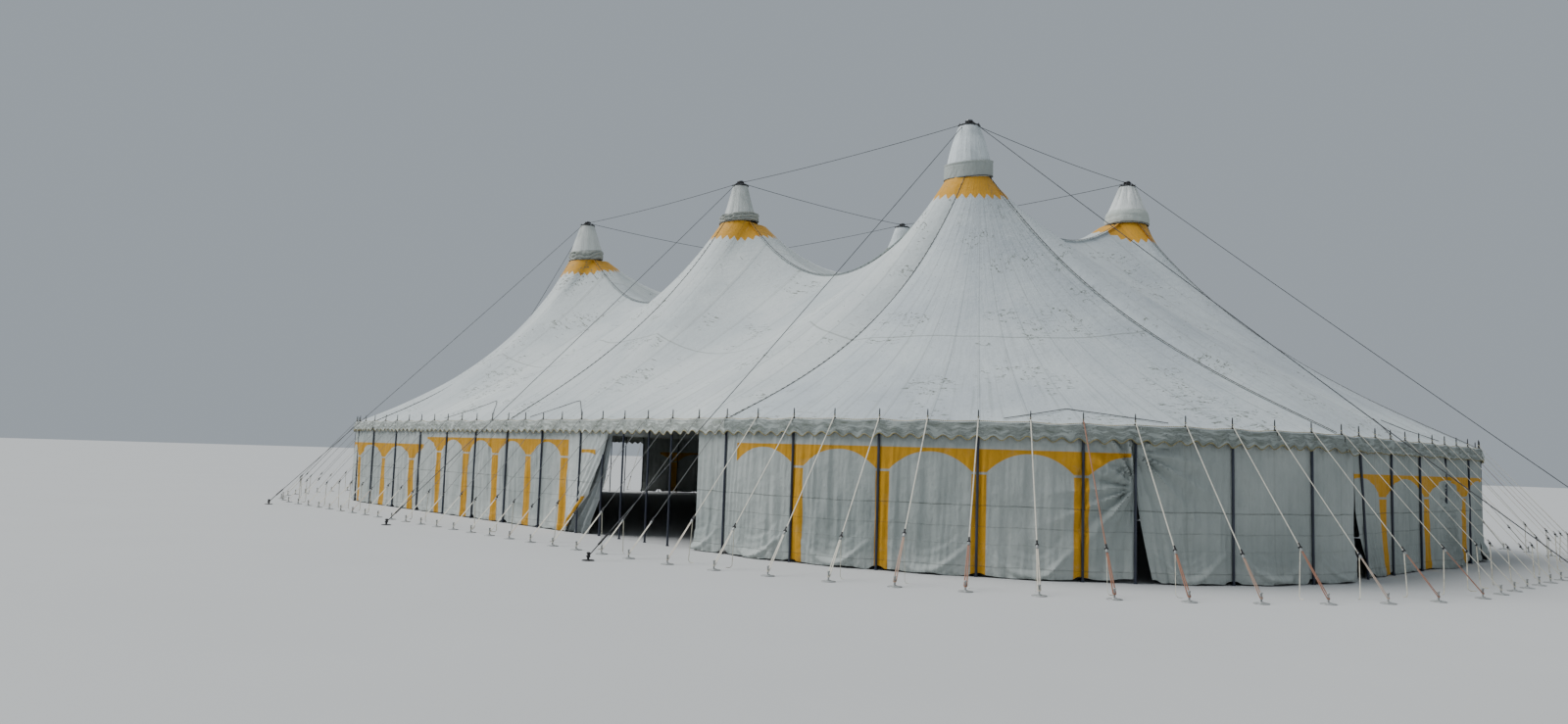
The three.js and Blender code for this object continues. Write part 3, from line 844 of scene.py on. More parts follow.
@dataclass(frozen=True)
class Effect:
    """A shared node group: inputs with a default number, or None for a vector, and outputs."""

    inputs: dict[str, float | None]
    outputs: tuple[str, ...]
    maker: Callable[[Graph, dict[str, Field]], tuple[Field, ...]]

    def tree(self, name: str) -> bpy.types.NodeTree:
        """The group, built on its first use.

        Args:
            name: name of the group.

        Returns:
            Its tree.
        """
        tree = bpy.data.node_groups.get(name)
        if tree is not None:
            return tree
        tree = bpy.data.node_groups.new(name, "ShaderNodeTree")
        for title, value in self.inputs.items():
            kind = "NodeSocketVector" if value is None else "NodeSocketFloat"
            socket = tree.interface.new_socket(title, in_out="INPUT", socket_type=kind)
            if value is not None:
                socket.default_value = value
        for title in self.outputs:
            tree.interface.new_socket(title, in_out="OUTPUT", socket_type="NodeSocketFloat")
        graph = Graph(tree)
        given = {s.name: Field(graph, s) for s in graph.node("NodeGroupInput").outputs}
        end = graph.node("NodeGroupOutput")
        for title, value in zip(self.outputs, self.maker(graph, given)):
            graph.feed(end.inputs[title], value)
        return tree


def make_weave(graph: Graph, given: dict[str, Field]) -> tuple[Field, ...]:
    """Woven canvas.

    Args:
        graph: graph of the group.
        given: its inputs: a place and the threads in a metre.

    Returns:
        The height of the threads.
    """
    node = graph.node("ShaderNodeVectorMath", given["Vector"], operation="SCALE")
    graph.feed(node.inputs["Scale"], given["Threads"])
    x, y, z = Field(graph, node.outputs[0]).parts()
    return ((x + y).math("SINE") * z.math("SINE"),)


def make_seams(_: Graph, given: dict[str, Field]) -> tuple[Field, ...]:
    """Sewn panels, with a seam at each whole number.

    Args:
        given: inputs: the numbers across and along the panels and a seam's half width.

    Returns:
        The doubled cloth beside the seams and their stitches.
    """
    share = abs((given["Across"] + 0.5).math("FRACT") - 0.5) / given["Width"]
    dash = (given["Along"] * 420.0).math("SINE").span(-0.5, 0.1)
    return share.span(1.15, 0.85), share.line(0.8, 0.1, 0.12) * dash


def make_weather(_: Graph, given: dict[str, Field]) -> tuple[Field, ...]:
    """Years of weather.

    Args:
        given: inputs: a place and the panel coordinates.

    Returns:
        Slow stain, run-down streak, fine speck and clustered scuffs.
    """
    place, panel = given["Vector"], given["Panel"]
    cluster = place.noise(0.8, 3.0, 0.6).span(0.53, 0.60)
    strokes = panel.stretch(1.5, 6.5).noise(1.0).line(0.54, 0.014, 0.010)
    gaps = place.noise(9.0, 2.0).span(0.46, 0.52)
    dots = panel.stretch(3.0, 20.0).noise(1.0, 2.0, 0.5).span(0.69, 0.72) * 0.7
    return (
        place.noise(0.45, 4.0, 0.6),
        panel.stretch(7.0, 0.55).noise(1.0, 4.0, 0.65),
        place.noise(14.0, 3.0, 0.7),
        (cluster * (strokes * gaps)).math("MAXIMUM", dots),
    )


def make_crown(_: Graph, given: dict[str, Field]) -> tuple[Field, ...]:
    """Painted crown round each mast.

    Args:
        given: inputs: a place on the roof, the crown's length and its number of teeth.

    Returns:
        The mask of the paint.
    """
    x, y, z = given["Vector"].parts()
    far = abs(x).math("GREATER_THAN", PLAN.mast_x / 2)
    low = far * y.math("LESS_THAN", 0.0) * 0.10
    x = abs(x) - far * PLAN.mast_x
    y = abs(y) - PLAN.mast_y
    out = (x * x + y * y).math("SQRT") - ROOF.ring_radius
    fall = ROOF.ring_z - (z + low)
    length = (out * out + fall * fall).math("SQRT")
    turn = y.math("ARCTAN2", x) * (1 / (2 * math.pi))
    tooth = abs((turn * given["Teeth"] + 40.0).math("FRACT") - 0.5) * 2.0
    wobble = (given["Vector"].noise(9.0, 2.0) - 0.5) * 0.03
    edge = given["Length"] + (tooth - 0.5) * 0.13 + wobble
    return ((edge - length).span(-0.004, 0.006),)


def make_arcade(_: Graph, given: dict[str, Field]) -> tuple[Field, ...]:
    """Painted arcade.

    Args:
        given: inputs: the pole number across, the height up and the sizes of an Arcade.

    Returns:
        The mask of the paint.
    """
    across, up, pitch, spring = (given[name] for name in ("Across", "Up", "Pitch", "Spring"))
    turn = (across - given["Column"]) / pitch
    near = abs((turn + 20.5).math("FRACT") - 0.5) * pitch
    column = (given["Half"] - near).span(-0.008, 0.008)
    gap = (up - spring).line(-0.018, 0.011, 0.004)
    shaft = column * (spring - up).span(0.0, 0.004) * (1.0 - gap)
    share = (pitch * 0.5 - near) / (pitch * 0.5 - given["Half"])
    drop = share.math("MAXIMUM", 0.0).math("POWER", 2.2)
    arch = given["Crown"] - drop * (given["Crown"] - spring)
    above = (up - arch.math("MAXIMUM", spring)).span(-0.003, 0.004)
    band = above * (given["Top"] - up).span(-0.003, 0.004)
    inside = across.math("GREATER_THAN", given["First"]) * across.math("LESS_THAN", given["Last"])
    return (inside * band.math("MAXIMUM", shaft),)


def make_wrinkles(graph: Graph, given: dict[str, Field]) -> tuple[Field, ...]:
    """Creased cloth, with long creases along the second panel coordinate.

    Args:
        graph: graph of the group.
        given: its inputs: the panel coordinates and a place.

    Returns:
        The height of the creases.
    """
    panel, place = given["Panel"], given["Place"]
    long, short = panel.stretch(6.0, 1.6), panel.stretch(16.0, 9.0)
    total = long.noise(1.0, 3.0, 0.5) * 0.8 + short.noise(1.0, 2.0, 0.5) * 0.3
    shift = Field(graph, graph.node("ShaderNodeTexNoise", place, 0.0, 1.6).outputs[1])
    warp = graph.add("ShaderNodeVectorMath", panel.stretch(1.0, 1.4), shift, operation="ADD")
    for scale, share in ((1.7, 0.55), (4.3, 0.28)):
        total = total + graph.add("ShaderNodeTexVoronoi", warp, 0.0, scale) * share
    return (total + place.noise(4.0, 5.0, 0.62) * 0.8,)


EFFECTS = {
    "weave": Effect({"Vector": None, "Threads": 260.0}, ("Height",), make_weave),
    "seams": Effect({"Across": 0.0, "Along": 0.0, "Width": 0.03}, ("Lap", "Thread"), make_seams),
    "weather": Effect({"Vector": None, "Panel": None}, ("Stain", "Streak", "Speck", "Scuff"), make_weather),
    "crown": Effect({"Vector": None, "Length": 0.535, "Teeth": 26.0}, ("Mask",), make_crown),
    "arcade": Effect(
        {"Across": 0.0, "Up": 0.0, "First": 0.0, "Last": 1.0, "Column": 0.0, "Pitch": 2.0,
         "Half": 0.15, "Top": 1.6, "Crown": 1.55, "Spring": 1.31},
        ("Mask",), make_arcade,
    ),
    "wrinkles": Effect({"Panel": None, "Place": None}, ("Height",), make_wrinkles),
}


@dataclass(frozen=True)
class Finish:
    """A surface finish, which is one procedural material."""

    name: str = "finish"

    def material(self) -> bpy.types.Material:
        """The material, made on its first use.

        Returns:
            The material.
        """
        title = f"{self.name}_finish"
        material = bpy.data.materials.get(title)
        if material is None:
            material = bpy.data.materials.new(title)
            material.use_nodes = True
            self.dress(Graph(material.node_tree))
        return material

    def dress(self, graph: Graph) -> None:
        """Builds the material's nodes in its graph, each finish in its own way."""
        raise NotImplementedError


@dataclass(frozen=True)
class RoofCanvas(Finish):
    """Weathered white roof canvas with sewn panels and painted crowns."""

    name: str = "roof_canvas"
    clean: Colour = shade(212, 218, 215)
    grey: Colour = shade(184, 192, 193)
    soil: Colour = shade(96, 102, 88)
    crown: Colour = shade(208, 150, 0)
    cross_seam: float = 4.32
    last_seamed: float = 34.0

    def dress(self, graph: Graph) -> None:
        """Builds the material's nodes.

        Args:
            graph: graph of the material.
        """
        panel, place = graph.panel(), graph.place()
        u, v, _ = panel.parts()
        weather = graph.group("weather", Vector=place, Panel=panel)
        seams = graph.group("seams", Across=u, Along=v, Width=0.035)
        weave = graph.group("weave", Vector=place)["Height"]
        colour = graph.blend(weather["Stain"].span(0.32, 0.72), self.clean, self.grey)
        cloth = graph.add("ShaderNodeTexWhiteNoise", (0.0, 0.0, 0.0), u.math("FLOOR"), noise_dimensions="1D")
        colour = colour.tinted(self.grey, cloth * 0.5)
        colour = colour.tinted(self.grey, weather["Streak"].span(0.5, 0.8) * 0.3)
        rills = panel.stretch(9.0, 0.35).noise(1.0, 2.0, 0.5).span(0.56, 0.68)
        colour = colour.tinted(self.soil, rills * v.span(2.5, 7.5, (0.03, 0.20)))
        colour = colour.tinted(self.soil, weather["Speck"].span(0.55, 0.8) * 0.14)
        worn = panel.stretch(30.0, 3.0).noise(1.0).span(0.62, 0.85)
        crown = graph.group("crown", Vector=place)["Mask"]
        colour = colour.tinted(self.crown, crown * (1.0 - worn * 0.45))
        colour = colour.tinted(self.soil, seams["Lap"] * 0.12)
        colour = colour.tinted(self.soil, seams["Thread"] * 0.16)
        wander = panel.stretch(0.35, 0.0).noise(1.0, 2.0)
        ring = (v + wander * 0.2).line(self.cross_seam, 0.014, 0.012)
        seamed = u.math("MODULO", float(PLAN.half_count)).math("LESS_THAN", self.last_seamed)
        colour = colour.tinted(self.soil, ring * (seamed * 0.4))
        colour = colour.tinted(self.soil, weather["Scuff"] * 0.9)
        slow = panel.stretch(3.0, 0.7).noise(1.0, 4.0, 0.6)
        crumple = place.stretch(1.0, 1.0, 1.6).noise(7.0, 5.0, 0.62)
        height = weave * 0.12 + seams["Lap"] * 0.6 + slow * 2.0 + crumple * 3.2
        graph.surface(colour, weather["Speck"].span(0.2, 0.8, (0.62, 0.8)), height, 0.006, 0.9)
        graph.shader.inputs["Sheen Weight"].default_value = 0.1


@dataclass(frozen=True)
class ValanceCanvas(Finish):
    """Creased canvas of the valance, darker along its creases and speckled with dirt."""

    name: str = "valance_canvas"
    clean: Colour = shade(190, 196, 190)
    soil: Colour = shade(118, 124, 114)

    def dress(self, graph: Graph) -> None:
        """Builds the material's nodes.

        Args:
            graph: graph of the material.
        """
        panel = graph.panel()
        speck = graph.group("weather", Vector=graph.place(), Panel=panel)["Speck"]
        creases = panel.stretch(2.4, 17.0).noise(1.0, 4.0, 0.6)
        fine = panel.stretch(14.0, 50.0).noise(1.0, 3.0, 0.6)
        # Darker along the crease pattern that also shapes the relief
        colour = graph.blend(creases.span(0.42, 0.72), self.clean, self.soil)
        colour = colour.tinted(self.soil, speck.span(0.5, 0.75) * 0.3)
        graph.surface(colour, 0.78, creases + fine * 0.15 + creases.line(0.5, 0.0, 0.04) * 0.3, 0.020)


@dataclass(frozen=True)
class Arcade:
    """A run of painted columns and arches, in pole numbers and metres."""

    first: float
    last: float
    column: float
    pitch: float = 1.93
    half: float = 0.15
    top: float = 1.60
    crown: float = 1.55
    spring: float = 1.31


def low_arcade(first: float, last: float, column: float, pitch: float = 2.29, half: float = 0.19) -> Arcade:
    """The lower kind of arcade."""
    return Arcade(first, last, column, pitch, half, top=1.44, crown=1.385, spring=1.12)


# Whiter curtain tones: painted light for walls that face the light and for folds that catch it
PAINTED_LIGHT_CLEAN = shade(204, 208, 204)
PAINTED_LIGHT_GREY = shade(178, 185, 182)


@dataclass(frozen=True)
class CurtainCanvas(Finish):
    """Curtain with seams, creases, a soiled foot and painted arcades; its grey-white tones and its creases
    are darkened with painted shade.
    """

    name: str = "curtain_canvas"
    # Tones darker than the cloth's own: painted shade of the walls, which take less light than the roof
    clean: Colour = shade(168, 175, 171)
    grey: Colour = shade(140, 149, 146)
    soil: Colour = shade(84, 90, 78)
    ochre: Colour = shade(198, 144, 0)
    seams_up: tuple[Pair, ...] = ((0.888, 1.0), (0.624, 0.5), (0.41, 0.25), (0.134, 0.6))
    arcades: tuple[Arcade, ...] = ()

    @classmethod
    def bleached(cls, name: str, share: float, arcades: tuple[Arcade, ...]) -> "CurtainCanvas":
        """Finish of a curtain with painted light: its tones go towards whiter ones, for a wall that stands
        in more light.

        Args:
            name: name of the finish.
            share: how far its tones go towards the white ones, as painted light.
            arcades: its painted arcades.

        Returns:
            The finish.
        """
        tones = ((cls.clean, PAINTED_LIGHT_CLEAN), (cls.grey, PAINTED_LIGHT_GREY))
        clean, grey = (tuple(mix(a, b, share) for a, b in zip(old, white)) for old, white in tones)
        return cls(name, clean, grey, arcades=arcades)

    def dress(self, graph: Graph) -> None:
        """Builds the material's nodes.

        Args:
            graph: graph of the material.
        """
        panel, place = graph.panel(), graph.place()
        u, v, _ = panel.parts()
        weather = graph.group("weather", Vector=place, Panel=panel)
        wrinkles = graph.group("wrinkles", Panel=panel, Place=place)["Height"]
        weave = graph.group("weave", Vector=place, Threads=340.0)["Height"]
        seams = graph.group("seams", Across=u * 0.5, Along=v, Width=0.012)
        colour = graph.blend(weather["Stain"].span(0.3, 0.7), self.clean, self.grey)
        colour = colour.tinted(self.grey, weather["Streak"].span(0.4, 0.8) * 0.35)
        colour = colour.tinted(self.clean, v.span(0.30, 0.12, (0.0, 0.7)))
        for arcade in self.arcades:
            sizes = {name.capitalize(): size for name, size in vars(arcade).items()}
            paint = graph.group("arcade", Across=u, Up=v, **sizes)["Mask"]
            worn = place.noise(6.0, 4.0, 0.7).span(0.55, 0.8)
            colour = colour.tinted(self.ochre, paint * (1.0 - worn * 0.2))
        thread: Value = 0.0
        sag = panel.stretch(0.8, 0.2).noise(1.0, 2.0) * 0.05
        for up, share in self.seams_up:
            line = (v + sag).line(up + 0.025, 0.0035, 0.004)
            thread = (line * share).math("MAXIMUM", thread)
        faint = panel.stretch(3.0, 3.0).noise(1.0).span(0.35, 0.62, (0.05, 0.5))
        colour = colour.tinted(self.soil, thread * faint)
        colour = colour.tinted(self.soil, seams["Lap"] * 0.12)
        # Darker in the hollows of the creases: painted shade, with some dirt
        colour = colour.tinted(self.soil, wrinkles.span(1.30, 0.95) * 0.12)
        splash = place.noise(7.0, 5.0, 0.7).span(0.45, 0.7)
        colour = colour.tinted(self.soil, v.span(0.12, 0.0) * splash * 0.5)
        rough = weather["Speck"].span(0.2, 0.8, (0.66, 0.82))
        graph.surface(colour, rough, wrinkles + weave * 0.03 + thread * 0.3, 0.030)


class CapStyle(Enum):
    """How the skirt of a mast cap is gathered."""

    FLAT_BAND = "flat"
    BUNCHED = "bunched"
    PLEATED = "pleated"


@dataclass(frozen=True)
class CapCanvas(Finish):
    """Canvas of a mast cap, greyer in its gathered skirt, where the grey is painted shade."""

    name: str = "cap_canvas"
    clean: Colour = shade(221, 229, 231)
    grey: Colour = shade(182, 190, 192)
    # Tone of the gathered skirt, darkened as painted shade; the streaks also tend to it
    skirt: Colour = shade(150, 156, 148)
    fold: float = 0.8

    def dress(self, graph: Graph) -> None:
        """Builds the material's nodes.

        Args:
            graph: graph of the material.
        """
        panel, place = graph.panel(), graph.place()
        _, run, _ = panel.parts()
        weather = graph.group("weather", Vector=place.stretch(3.0, 3.0, 3.0), Panel=panel)
        streak = panel.stretch(9.0, 3.0).noise(1.0, 5.0, 0.65)
        colour = graph.blend(weather["Stain"].span(0.35, 0.7), self.clean, self.grey)
        # Greyer low down in the gathered skirt: painted shade
        low = (run - weather["Speck"] * 0.04).span(-0.035, -0.015)
        colour = colour.tinted(self.skirt, low * 0.75)
        colour = colour.tinted(self.skirt, streak.span(0.48, 0.78) * 0.5)
        creases = place.noise(18.0, 5.0, 0.65)
        rolls = low * panel.stretch(1.4, 9.0).noise(1.0, 3.0, 0.5) * (self.fold * 2.0)
        graph.surface(colour, 0.75, streak * 0.8 + creases * 0.6 + rolls, 0.016, 0.9)


@dataclass(frozen=True)
class TwistedRope(Finish):
    """Three-strand rope, with painted shade in the grooves between its strands."""

    name: str = "twisted_rope"
    # Tone of the strands' crowns, and the darker tone of the grooves, which is painted shade
    light: Colour = shade(206, 198, 168)
    dark: Colour = shade(120, 112, 88)
    lay: float = 260.0

    def dress(self, graph: Graph) -> None:
        """Builds the material's nodes.

        Args:
            graph: graph of the material.
        """
        strand = (graph.panel().parts()[0] * self.lay).math("SINE")
        # Darker in the grooves between the strands: painted shade
        colour = graph.blend(strand.span(-0.2, -1.0), self.light, self.dark)
        colour = colour.tinted(self.dark, graph.place().noise(8.0).span(0.5, 0.75) * 0.4)
        graph.surface(colour, 0.85, strand, 0.002, 0.7)


@dataclass(frozen=True)
class Webbing(Finish):
    """Flat strap: cream, orange or grey by its tint."""

    name: str = "strap_webbing"
    cream: Colour = shade(216, 212, 196)
    orange: Colour = shade(158, 112, 90)
    grey: Colour = shade(104, 106, 104)
    dark: Colour = shade(104, 92, 78)
    ribs: float = 900.0

    def dress(self, graph: Graph) -> None:
        """Builds the material's nodes.

        Args:
            graph: graph of the material.
        """
        run, tint, _ = graph.panel().parts()
        colour = graph.blend(tint.span(0.2, 0.8), self.cream, self.orange)
        colour = colour.tinted(self.grey, tint.span(1.4, 1.8))
        colour = colour.tinted(self.dark, graph.place().noise(11.0).span(0.5, 0.8) * 0.35)
        graph.surface(colour, 0.7, (run * self.ribs).math("SINE"), 0.0008, 0.5)


@dataclass(frozen=True)
class Metal(Finish):
    """Bare or galvanised steel with dull patches and rust."""

    name: str = "galvanised_steel"
    bright: Colour = shade(205, 206, 202)
    dull: Colour = shade(160, 162, 158)
    rust: Colour = shade(124, 92, 66)
    rust_share: float = 0.2
    polish: Pair = (0.45, 0.7)
    metallic: float = 0.35

    def dress(self, graph: Graph) -> None:
        """Builds the material's nodes.

        Args:
            graph: graph of the material.
        """
        place = graph.place()
        patch = place.noise(22.0, 4.0, 0.6)
        spots = place.noise(60.0, 4.0, 0.7).span(0.58, 0.72)
        colour = graph.blend(patch.span(0.35, 0.65), self.bright, self.dull)
        colour = colour.tinted(self.rust, spots * self.rust_share)
        graph.surface(colour, patch.span(0.3, 0.7, self.polish), patch, 0.0012, 0.5)
        graph.shader.inputs["Metallic"].default_value = self.metallic


@dataclass(frozen=True)
class Paintwork(Finish):
    """Painted steel with scratches down to the metal."""

    name: str = "navy_paint"
    coat: Colour = shade(30, 36, 52)
    faded: Colour = shade(52, 58, 72)
    bare: Colour = shade(118, 114, 106)

    def dress(self, graph: Graph) -> None:
        """Builds the material's nodes.

        Args:
            graph: graph of the material.
        """
        place = graph.place()
        fade = place.stretch(1, 1, 0.3).noise(6.0)
        chips = place.stretch(1, 1, 0.25).noise(70.0, 4.0, 0.7).span(0.66, 0.7)
        colour = graph.blend(fade.span(0.35, 0.7), self.coat, self.faded)
        colour = colour.tinted(self.bare, chips * 0.7)
        graph.surface(colour, fade.span(0.3, 0.7, (0.38, 0.55)), 1.0 - chips, 0.0006, 0.5)


@dataclass(frozen=True)
class Braid(Finish):
    """Cord or trim with a fine braid; the dark lacing's tone is partly painted shade."""

    name: str = "dark_lacing"
    tone: Colour = shade(72, 72, 72)
    worn: Colour = shade(120, 118, 112)
    lay: float = 500.0

    def dress(self, graph: Graph) -> None:
        """Builds the material's nodes.

        Args:
            graph: graph of the material.
        """
        colour = graph.blend(graph.place().noise(12.0).span(0.4, 0.75), self.tone, self.worn)
        graph.surface(colour, 0.8, (graph.panel().parts()[0] * self.lay).math("SINE"), 0.0012, 0.6)


@dataclass(frozen=True)
class FloorPaint(Finish):
    """Pale studio floor."""

    name: str = "studio_floor"
    tone: Colour = shade(196, 197, 196)
    shadow: Colour = shade(190, 191, 190)

    def dress(self, graph: Graph) -> None:
        """Builds the material's nodes in its graph."""
        graph.surface(graph.blend(graph.place().noise(0.4), self.tone, self.shadow), 0.9)


CAP_FINISHES = {
    CapStyle.FLAT_BAND: CapCanvas(fold=0.15),
    CapStyle.BUNCHED: CapCanvas(
        "bunched_cap_canvas", shade(208, 212, 208), shade(168, 173, 169), shade(142, 146, 138)
    ),
    CapStyle.PLEATED: CapCanvas(
        "pleated_cap_canvas", shade(226, 229, 226), shade(188, 194, 190), shade(176, 184, 176)
    ),
}
# The second valance canvas is darker, for dirt and for painted shade where the light falls off towards the
# right
VALANCES = {
    False: ValanceCanvas(),
    True: ValanceCanvas("worn_valance_canvas", shade(157, 165, 161), shade(94, 101, 92)),
}
# The second roof canvas is a darker copy: painted shade for the light that falls off towards the right front
# corner and the right end
ROOFS = {
    False: RoofCanvas(),
    True: RoofCanvas("worn_roof_canvas", shade(201, 209, 209), shade(173, 182, 187)),
}
# Dark lacing cord, whose tone also stands in for the shade along the laced seams and under the cap bands:
# partly painted shade
LACING = Braid()
PIPING = Braid("olive_piping", shade(124, 113, 72), shade(166, 154, 102), 300.0)
TAIL_TRIM = Braid("white_tails", shade(220, 216, 198), shade(178, 172, 150), 700.0)
GALVANISED = Metal()
SPIKE_STEEL = Metal("dark_steel", shade(46, 46, 48), shade(30, 30, 32), shade(66, 44, 34), 0.4, (0.5, 0.7))
STAKE_PLATE = Metal("stake_plate", shade(176, 178, 176), shade(142, 145, 143), shade(120, 96, 74), 0.3)
MAST_STEEL = Metal(
    "mast_steel", shade(150, 153, 156), shade(104, 108, 112), shade(110, 76, 50), 0.3, (0.4, 0.6)
)
WIRE_ROPE = Metal("wire_rope", shade(84, 86, 88), shade(52, 54, 56), shade(72, 56, 44), 0.3, (0.45, 0.65))
NAVY = Paintwork()


# Sub-assemblies


@dataclass
class RoofPanel:
    """A roof canvas from its upper edge down to the hem."""

    name: str
    first: int
    last: int
    cells_per_bay: int = 6
    rows: int = 40
    row_spread: float = 1.35
    wrinkle: float = 0.006
    sag_from: float = 0.8
    hem_out: float = 0.046
    hem_drop: float = 0.002
    turn_out: float = 0.003
    turn_drop: float = 0.014
    drop_mark: float = 8.0
    spare: float = 1.0

    def build(self) -> Piece:
        """Makes the canvas.

        Returns:
            The canvas.
        """
        bays = self.last - self.first
        numbers = np.linspace(self.first, self.last, bays * self.cells_per_bay + 1)
        v = (np.arange(self.rows + 1) / self.rows) ** self.row_spread
        lines = np.stack([ROOF.fall_line(n, v) for n in numbers], axis=1)
        sag = HEM.dip(numbers)
        lines[..., 2] -= smooth(v, self.sag_from, 1.0)[:, None] * sag
        waves = ripple(numbers[None, :], self.drop_mark * v[:, None], 5, 0.35, 0.4)
        lines[..., 2] += self.wrinkle * waves * np.sin(math.pi * v)[:, None]
        hem = PLAN.beside(numbers, self.hem_out, PLAN.eave_z - self.hem_drop - sag)
        turned = PLAN.beside(numbers, self.hem_out + self.turn_out, PLAN.eave_z - self.turn_drop - sag)
        points = np.concatenate([lines, hem[None], turned[None]])
        hem_marks = [self.drop_mark + 0.06, self.drop_mark + 0.07]
        marks = np.stack(np.meshgrid(numbers, [*(v * self.drop_mark), *hem_marks]), axis=-1)
        shape = Shape()
        shape.grid(points, marks)
        # The right front corner and the right end take the darker roof canvas, which is painted shade
        worn = PLAN.side_bays <= self.first < PLAN.side_bays + PLAN.corner_bays + PLAN.end_bays
        piece = install(shape.build(f"{self.name}_canvas", ROOFS[worn]), "roof_canvas", self.name)
        width = bays * PLAN.bay
        length = float(run_along(points[:, len(numbers) // 2])[-1]) + self.spare
        masts_at(points[0])
        return piece


def masts_at(points: Array) -> list[str]:
    """Masts whose rings carry an edge that goes through the points."""
    return [f"king_mast_{name}" for name, (x, y) in PLAN.masts().items()
            if np.hypot(points[:, 0] - x, points[:, 1] - y).min() < ROOF.ring_radius + 0.05]


@dataclass
class MiddlePanel:
    """The canvas between four masts."""

    name: str
    left: float
    right: float
    columns: int = 60
    rows: int = 52
    lap: float = 0.6

    def build(self) -> Piece:
        """Makes the canvas.

        Returns:
            The canvas.
        """
        x, y = np.meshgrid(
            np.linspace(self.left, self.right, self.columns + 1),
            np.linspace(PLAN.mast_y, -PLAN.mast_y, self.rows + 1),
        )
        away_x = np.minimum(x - self.left, self.right - x)
        away_y = PLAN.mast_y - np.abs(y)
        reach = np.hypot(away_x, away_y)
        mast_x = np.where(x - self.left < self.right - x, self.left, self.right)
        mast_y = np.sign(y + 1e-9) * PLAN.mast_y
        push = np.where(reach < ROOF.ring_radius, ROOF.ring_radius / np.maximum(reach, 1e-3), 1.0)
        corner = reach < 1e-3
        step = ROOF.ring_radius * math.sqrt(0.5)
        middle = (self.left + self.right) / 2
        x = np.where(corner, mast_x + step * np.sign(middle - mast_x), mast_x + (x - mast_x) * push)
        y = np.where(corner, mast_y - step * np.sign(mast_y), mast_y + (y - mast_y) * push)
        z = ROOF.middle_height(x, y, self.left, self.right)
        points = np.stack([x, y, z], axis=-1)
        marks = np.stack([x / PLAN.bay, y + 20.0], axis=-1)
        shape = Shape()
        shape.grid(points, marks)
        piece = install(shape.build(f"{self.name}_canvas", ROOFS[False]), "roof_canvas", self.name)
        masts_at(points.reshape(-1, 3))
        return piece


# Valances whose roof canvas has another name than their own
CARRYING_ROOF = {"front": "front_right", "back": "back_left"}


@dataclass
class Valance:
    """The strip of canvas that hangs from the hem, with a scalloped, bound edge."""

    name: str
    first: int
    last: int
    drop: float = 0.226
    scallop: float = 0.058
    per_bay: float = 3.1
    cells: int = 24
    rows: int = 12
    out: float = 0.050
    pointed: float = 0.0
    overlap: float = 0.0
    # Whether the valance takes the darker canvas, which is dirt and painted shade
    worn: bool = False
    uneven: float = 0.010
    flare: float = 0.014
    slow_waves: float = 0.012
    fine_waves: float = 0.006
    flutes: float = 0.007
    gathers: float = 0.012
    gather_bays: float = 0.07
    belly: float = 0.010
    swags: float = 0.005
    lap_out: float = 0.04
    lap_bays: float = 0.4
    hem: float = 0.01
    binding: Pair = (0.012, 0.011)

    @property
    def roof(self) -> str:
        """Name of the roof canvas that carries this valance."""
        side = self.name.removeprefix("valance_")
        return f"roof_{CARRYING_ROOF.get(side, side)}_canvas"

    def edge(self, numbers: Array) -> Array:
        """Depth of the valance.

        Args:
            numbers: pole numbers.

        Returns:
            Distances from the hem to the scalloped edge.
        """
        wave = 0.5 + 0.5 * np.cos(2 * math.pi * (numbers * self.per_bay + 0.5))
        tooth = np.abs(2 * np.mod(numbers * self.per_bay, 1.0) - 1)
        cut = mix(wave, tooth, self.pointed) * self.scallop
        slow = self.uneven * ripple(numbers, 0.0, 11, 0.55, 0.0)
        lap = np.clip(numbers - self.last + self.lap_bays, 0, self.lap_bays)
        return self.drop + slow - cut + 0.5 * self.overlap * lap**2

    def surface(self, numbers: Array, share: Array) -> Array:
        """Points of the valance.

        Args:
            numbers: pole numbers.
            share: places down the valance, from 0 to 1.

        Returns:
            Points in space.
        """
        pole = np.abs(np.sin(math.pi * numbers))
        gather = fade(np.abs((numbers + 0.5) % 1 - 0.5), self.gather_bays)
        lean = self.flare * share + self.slow_waves * share * ripple(numbers, share, 21, 1.3, 0.3)
        lean = lean + self.fine_waves * ripple(numbers, share, 22, 3.1, 0.8) * share**0.5
        flute = np.cos(2 * math.pi * (numbers * self.per_bay + 0.5))
        lean = lean + self.flutes * flute * share**2
        lean = lean + self.gathers * gather * np.sin(share * 7) * (1 - share)
        lean = lean + self.belly * pole * np.sin(math.pi * share)
        swag = np.sin(4 * math.pi * share + 3 * np.cos(2 * math.pi * numbers))
        lean = lean + self.swags * swag * fade(pole, 0.7)
        depth = share * self.edge(numbers)
        z = PLAN.eave_z - self.hem - HEM.dip(numbers) * (1 - 0.5 * share) - depth
        return PLAN.beside(numbers, self.out + lean, z)

    def build(self) -> Piece:
        """Returns:
            The canvas.
        """
        numbers = np.linspace(self.first, self.last, (self.last - self.first) * self.cells + 1)
        share = np.linspace(0, 1, self.rows + 1)
        columns, rows = np.meshgrid(numbers, share)
        spread = self.overlap * rows * np.clip(columns - self.last + 1, 0, 1)
        points = self.surface(columns, rows)
        eave = PLAN.beside(columns, 0.0, 0.0)
        points = points + (PLAN.beside(columns + spread, 0.0, 0.0) - eave)
        points = points + PLAN.beside(columns, self.lap_out * spread, 0.0) - eave
        shape = Shape()
        shape.grid(points, np.stack([columns, rows * self.drop], axis=-1))
        piece = install(shape.build(f"{self.name}_canvas", VALANCES[self.worn]), "roof_canvas")
        trim = Shape()
        trim.sweep(points[-1], strap(*self.binding))
        binding = install(trim.build(f"{self.name}_binding", PIPING), "roof_canvas")
        width = (self.last - self.first) * PLAN.bay
        round(self.drop + self.hem, 3)
        return piece


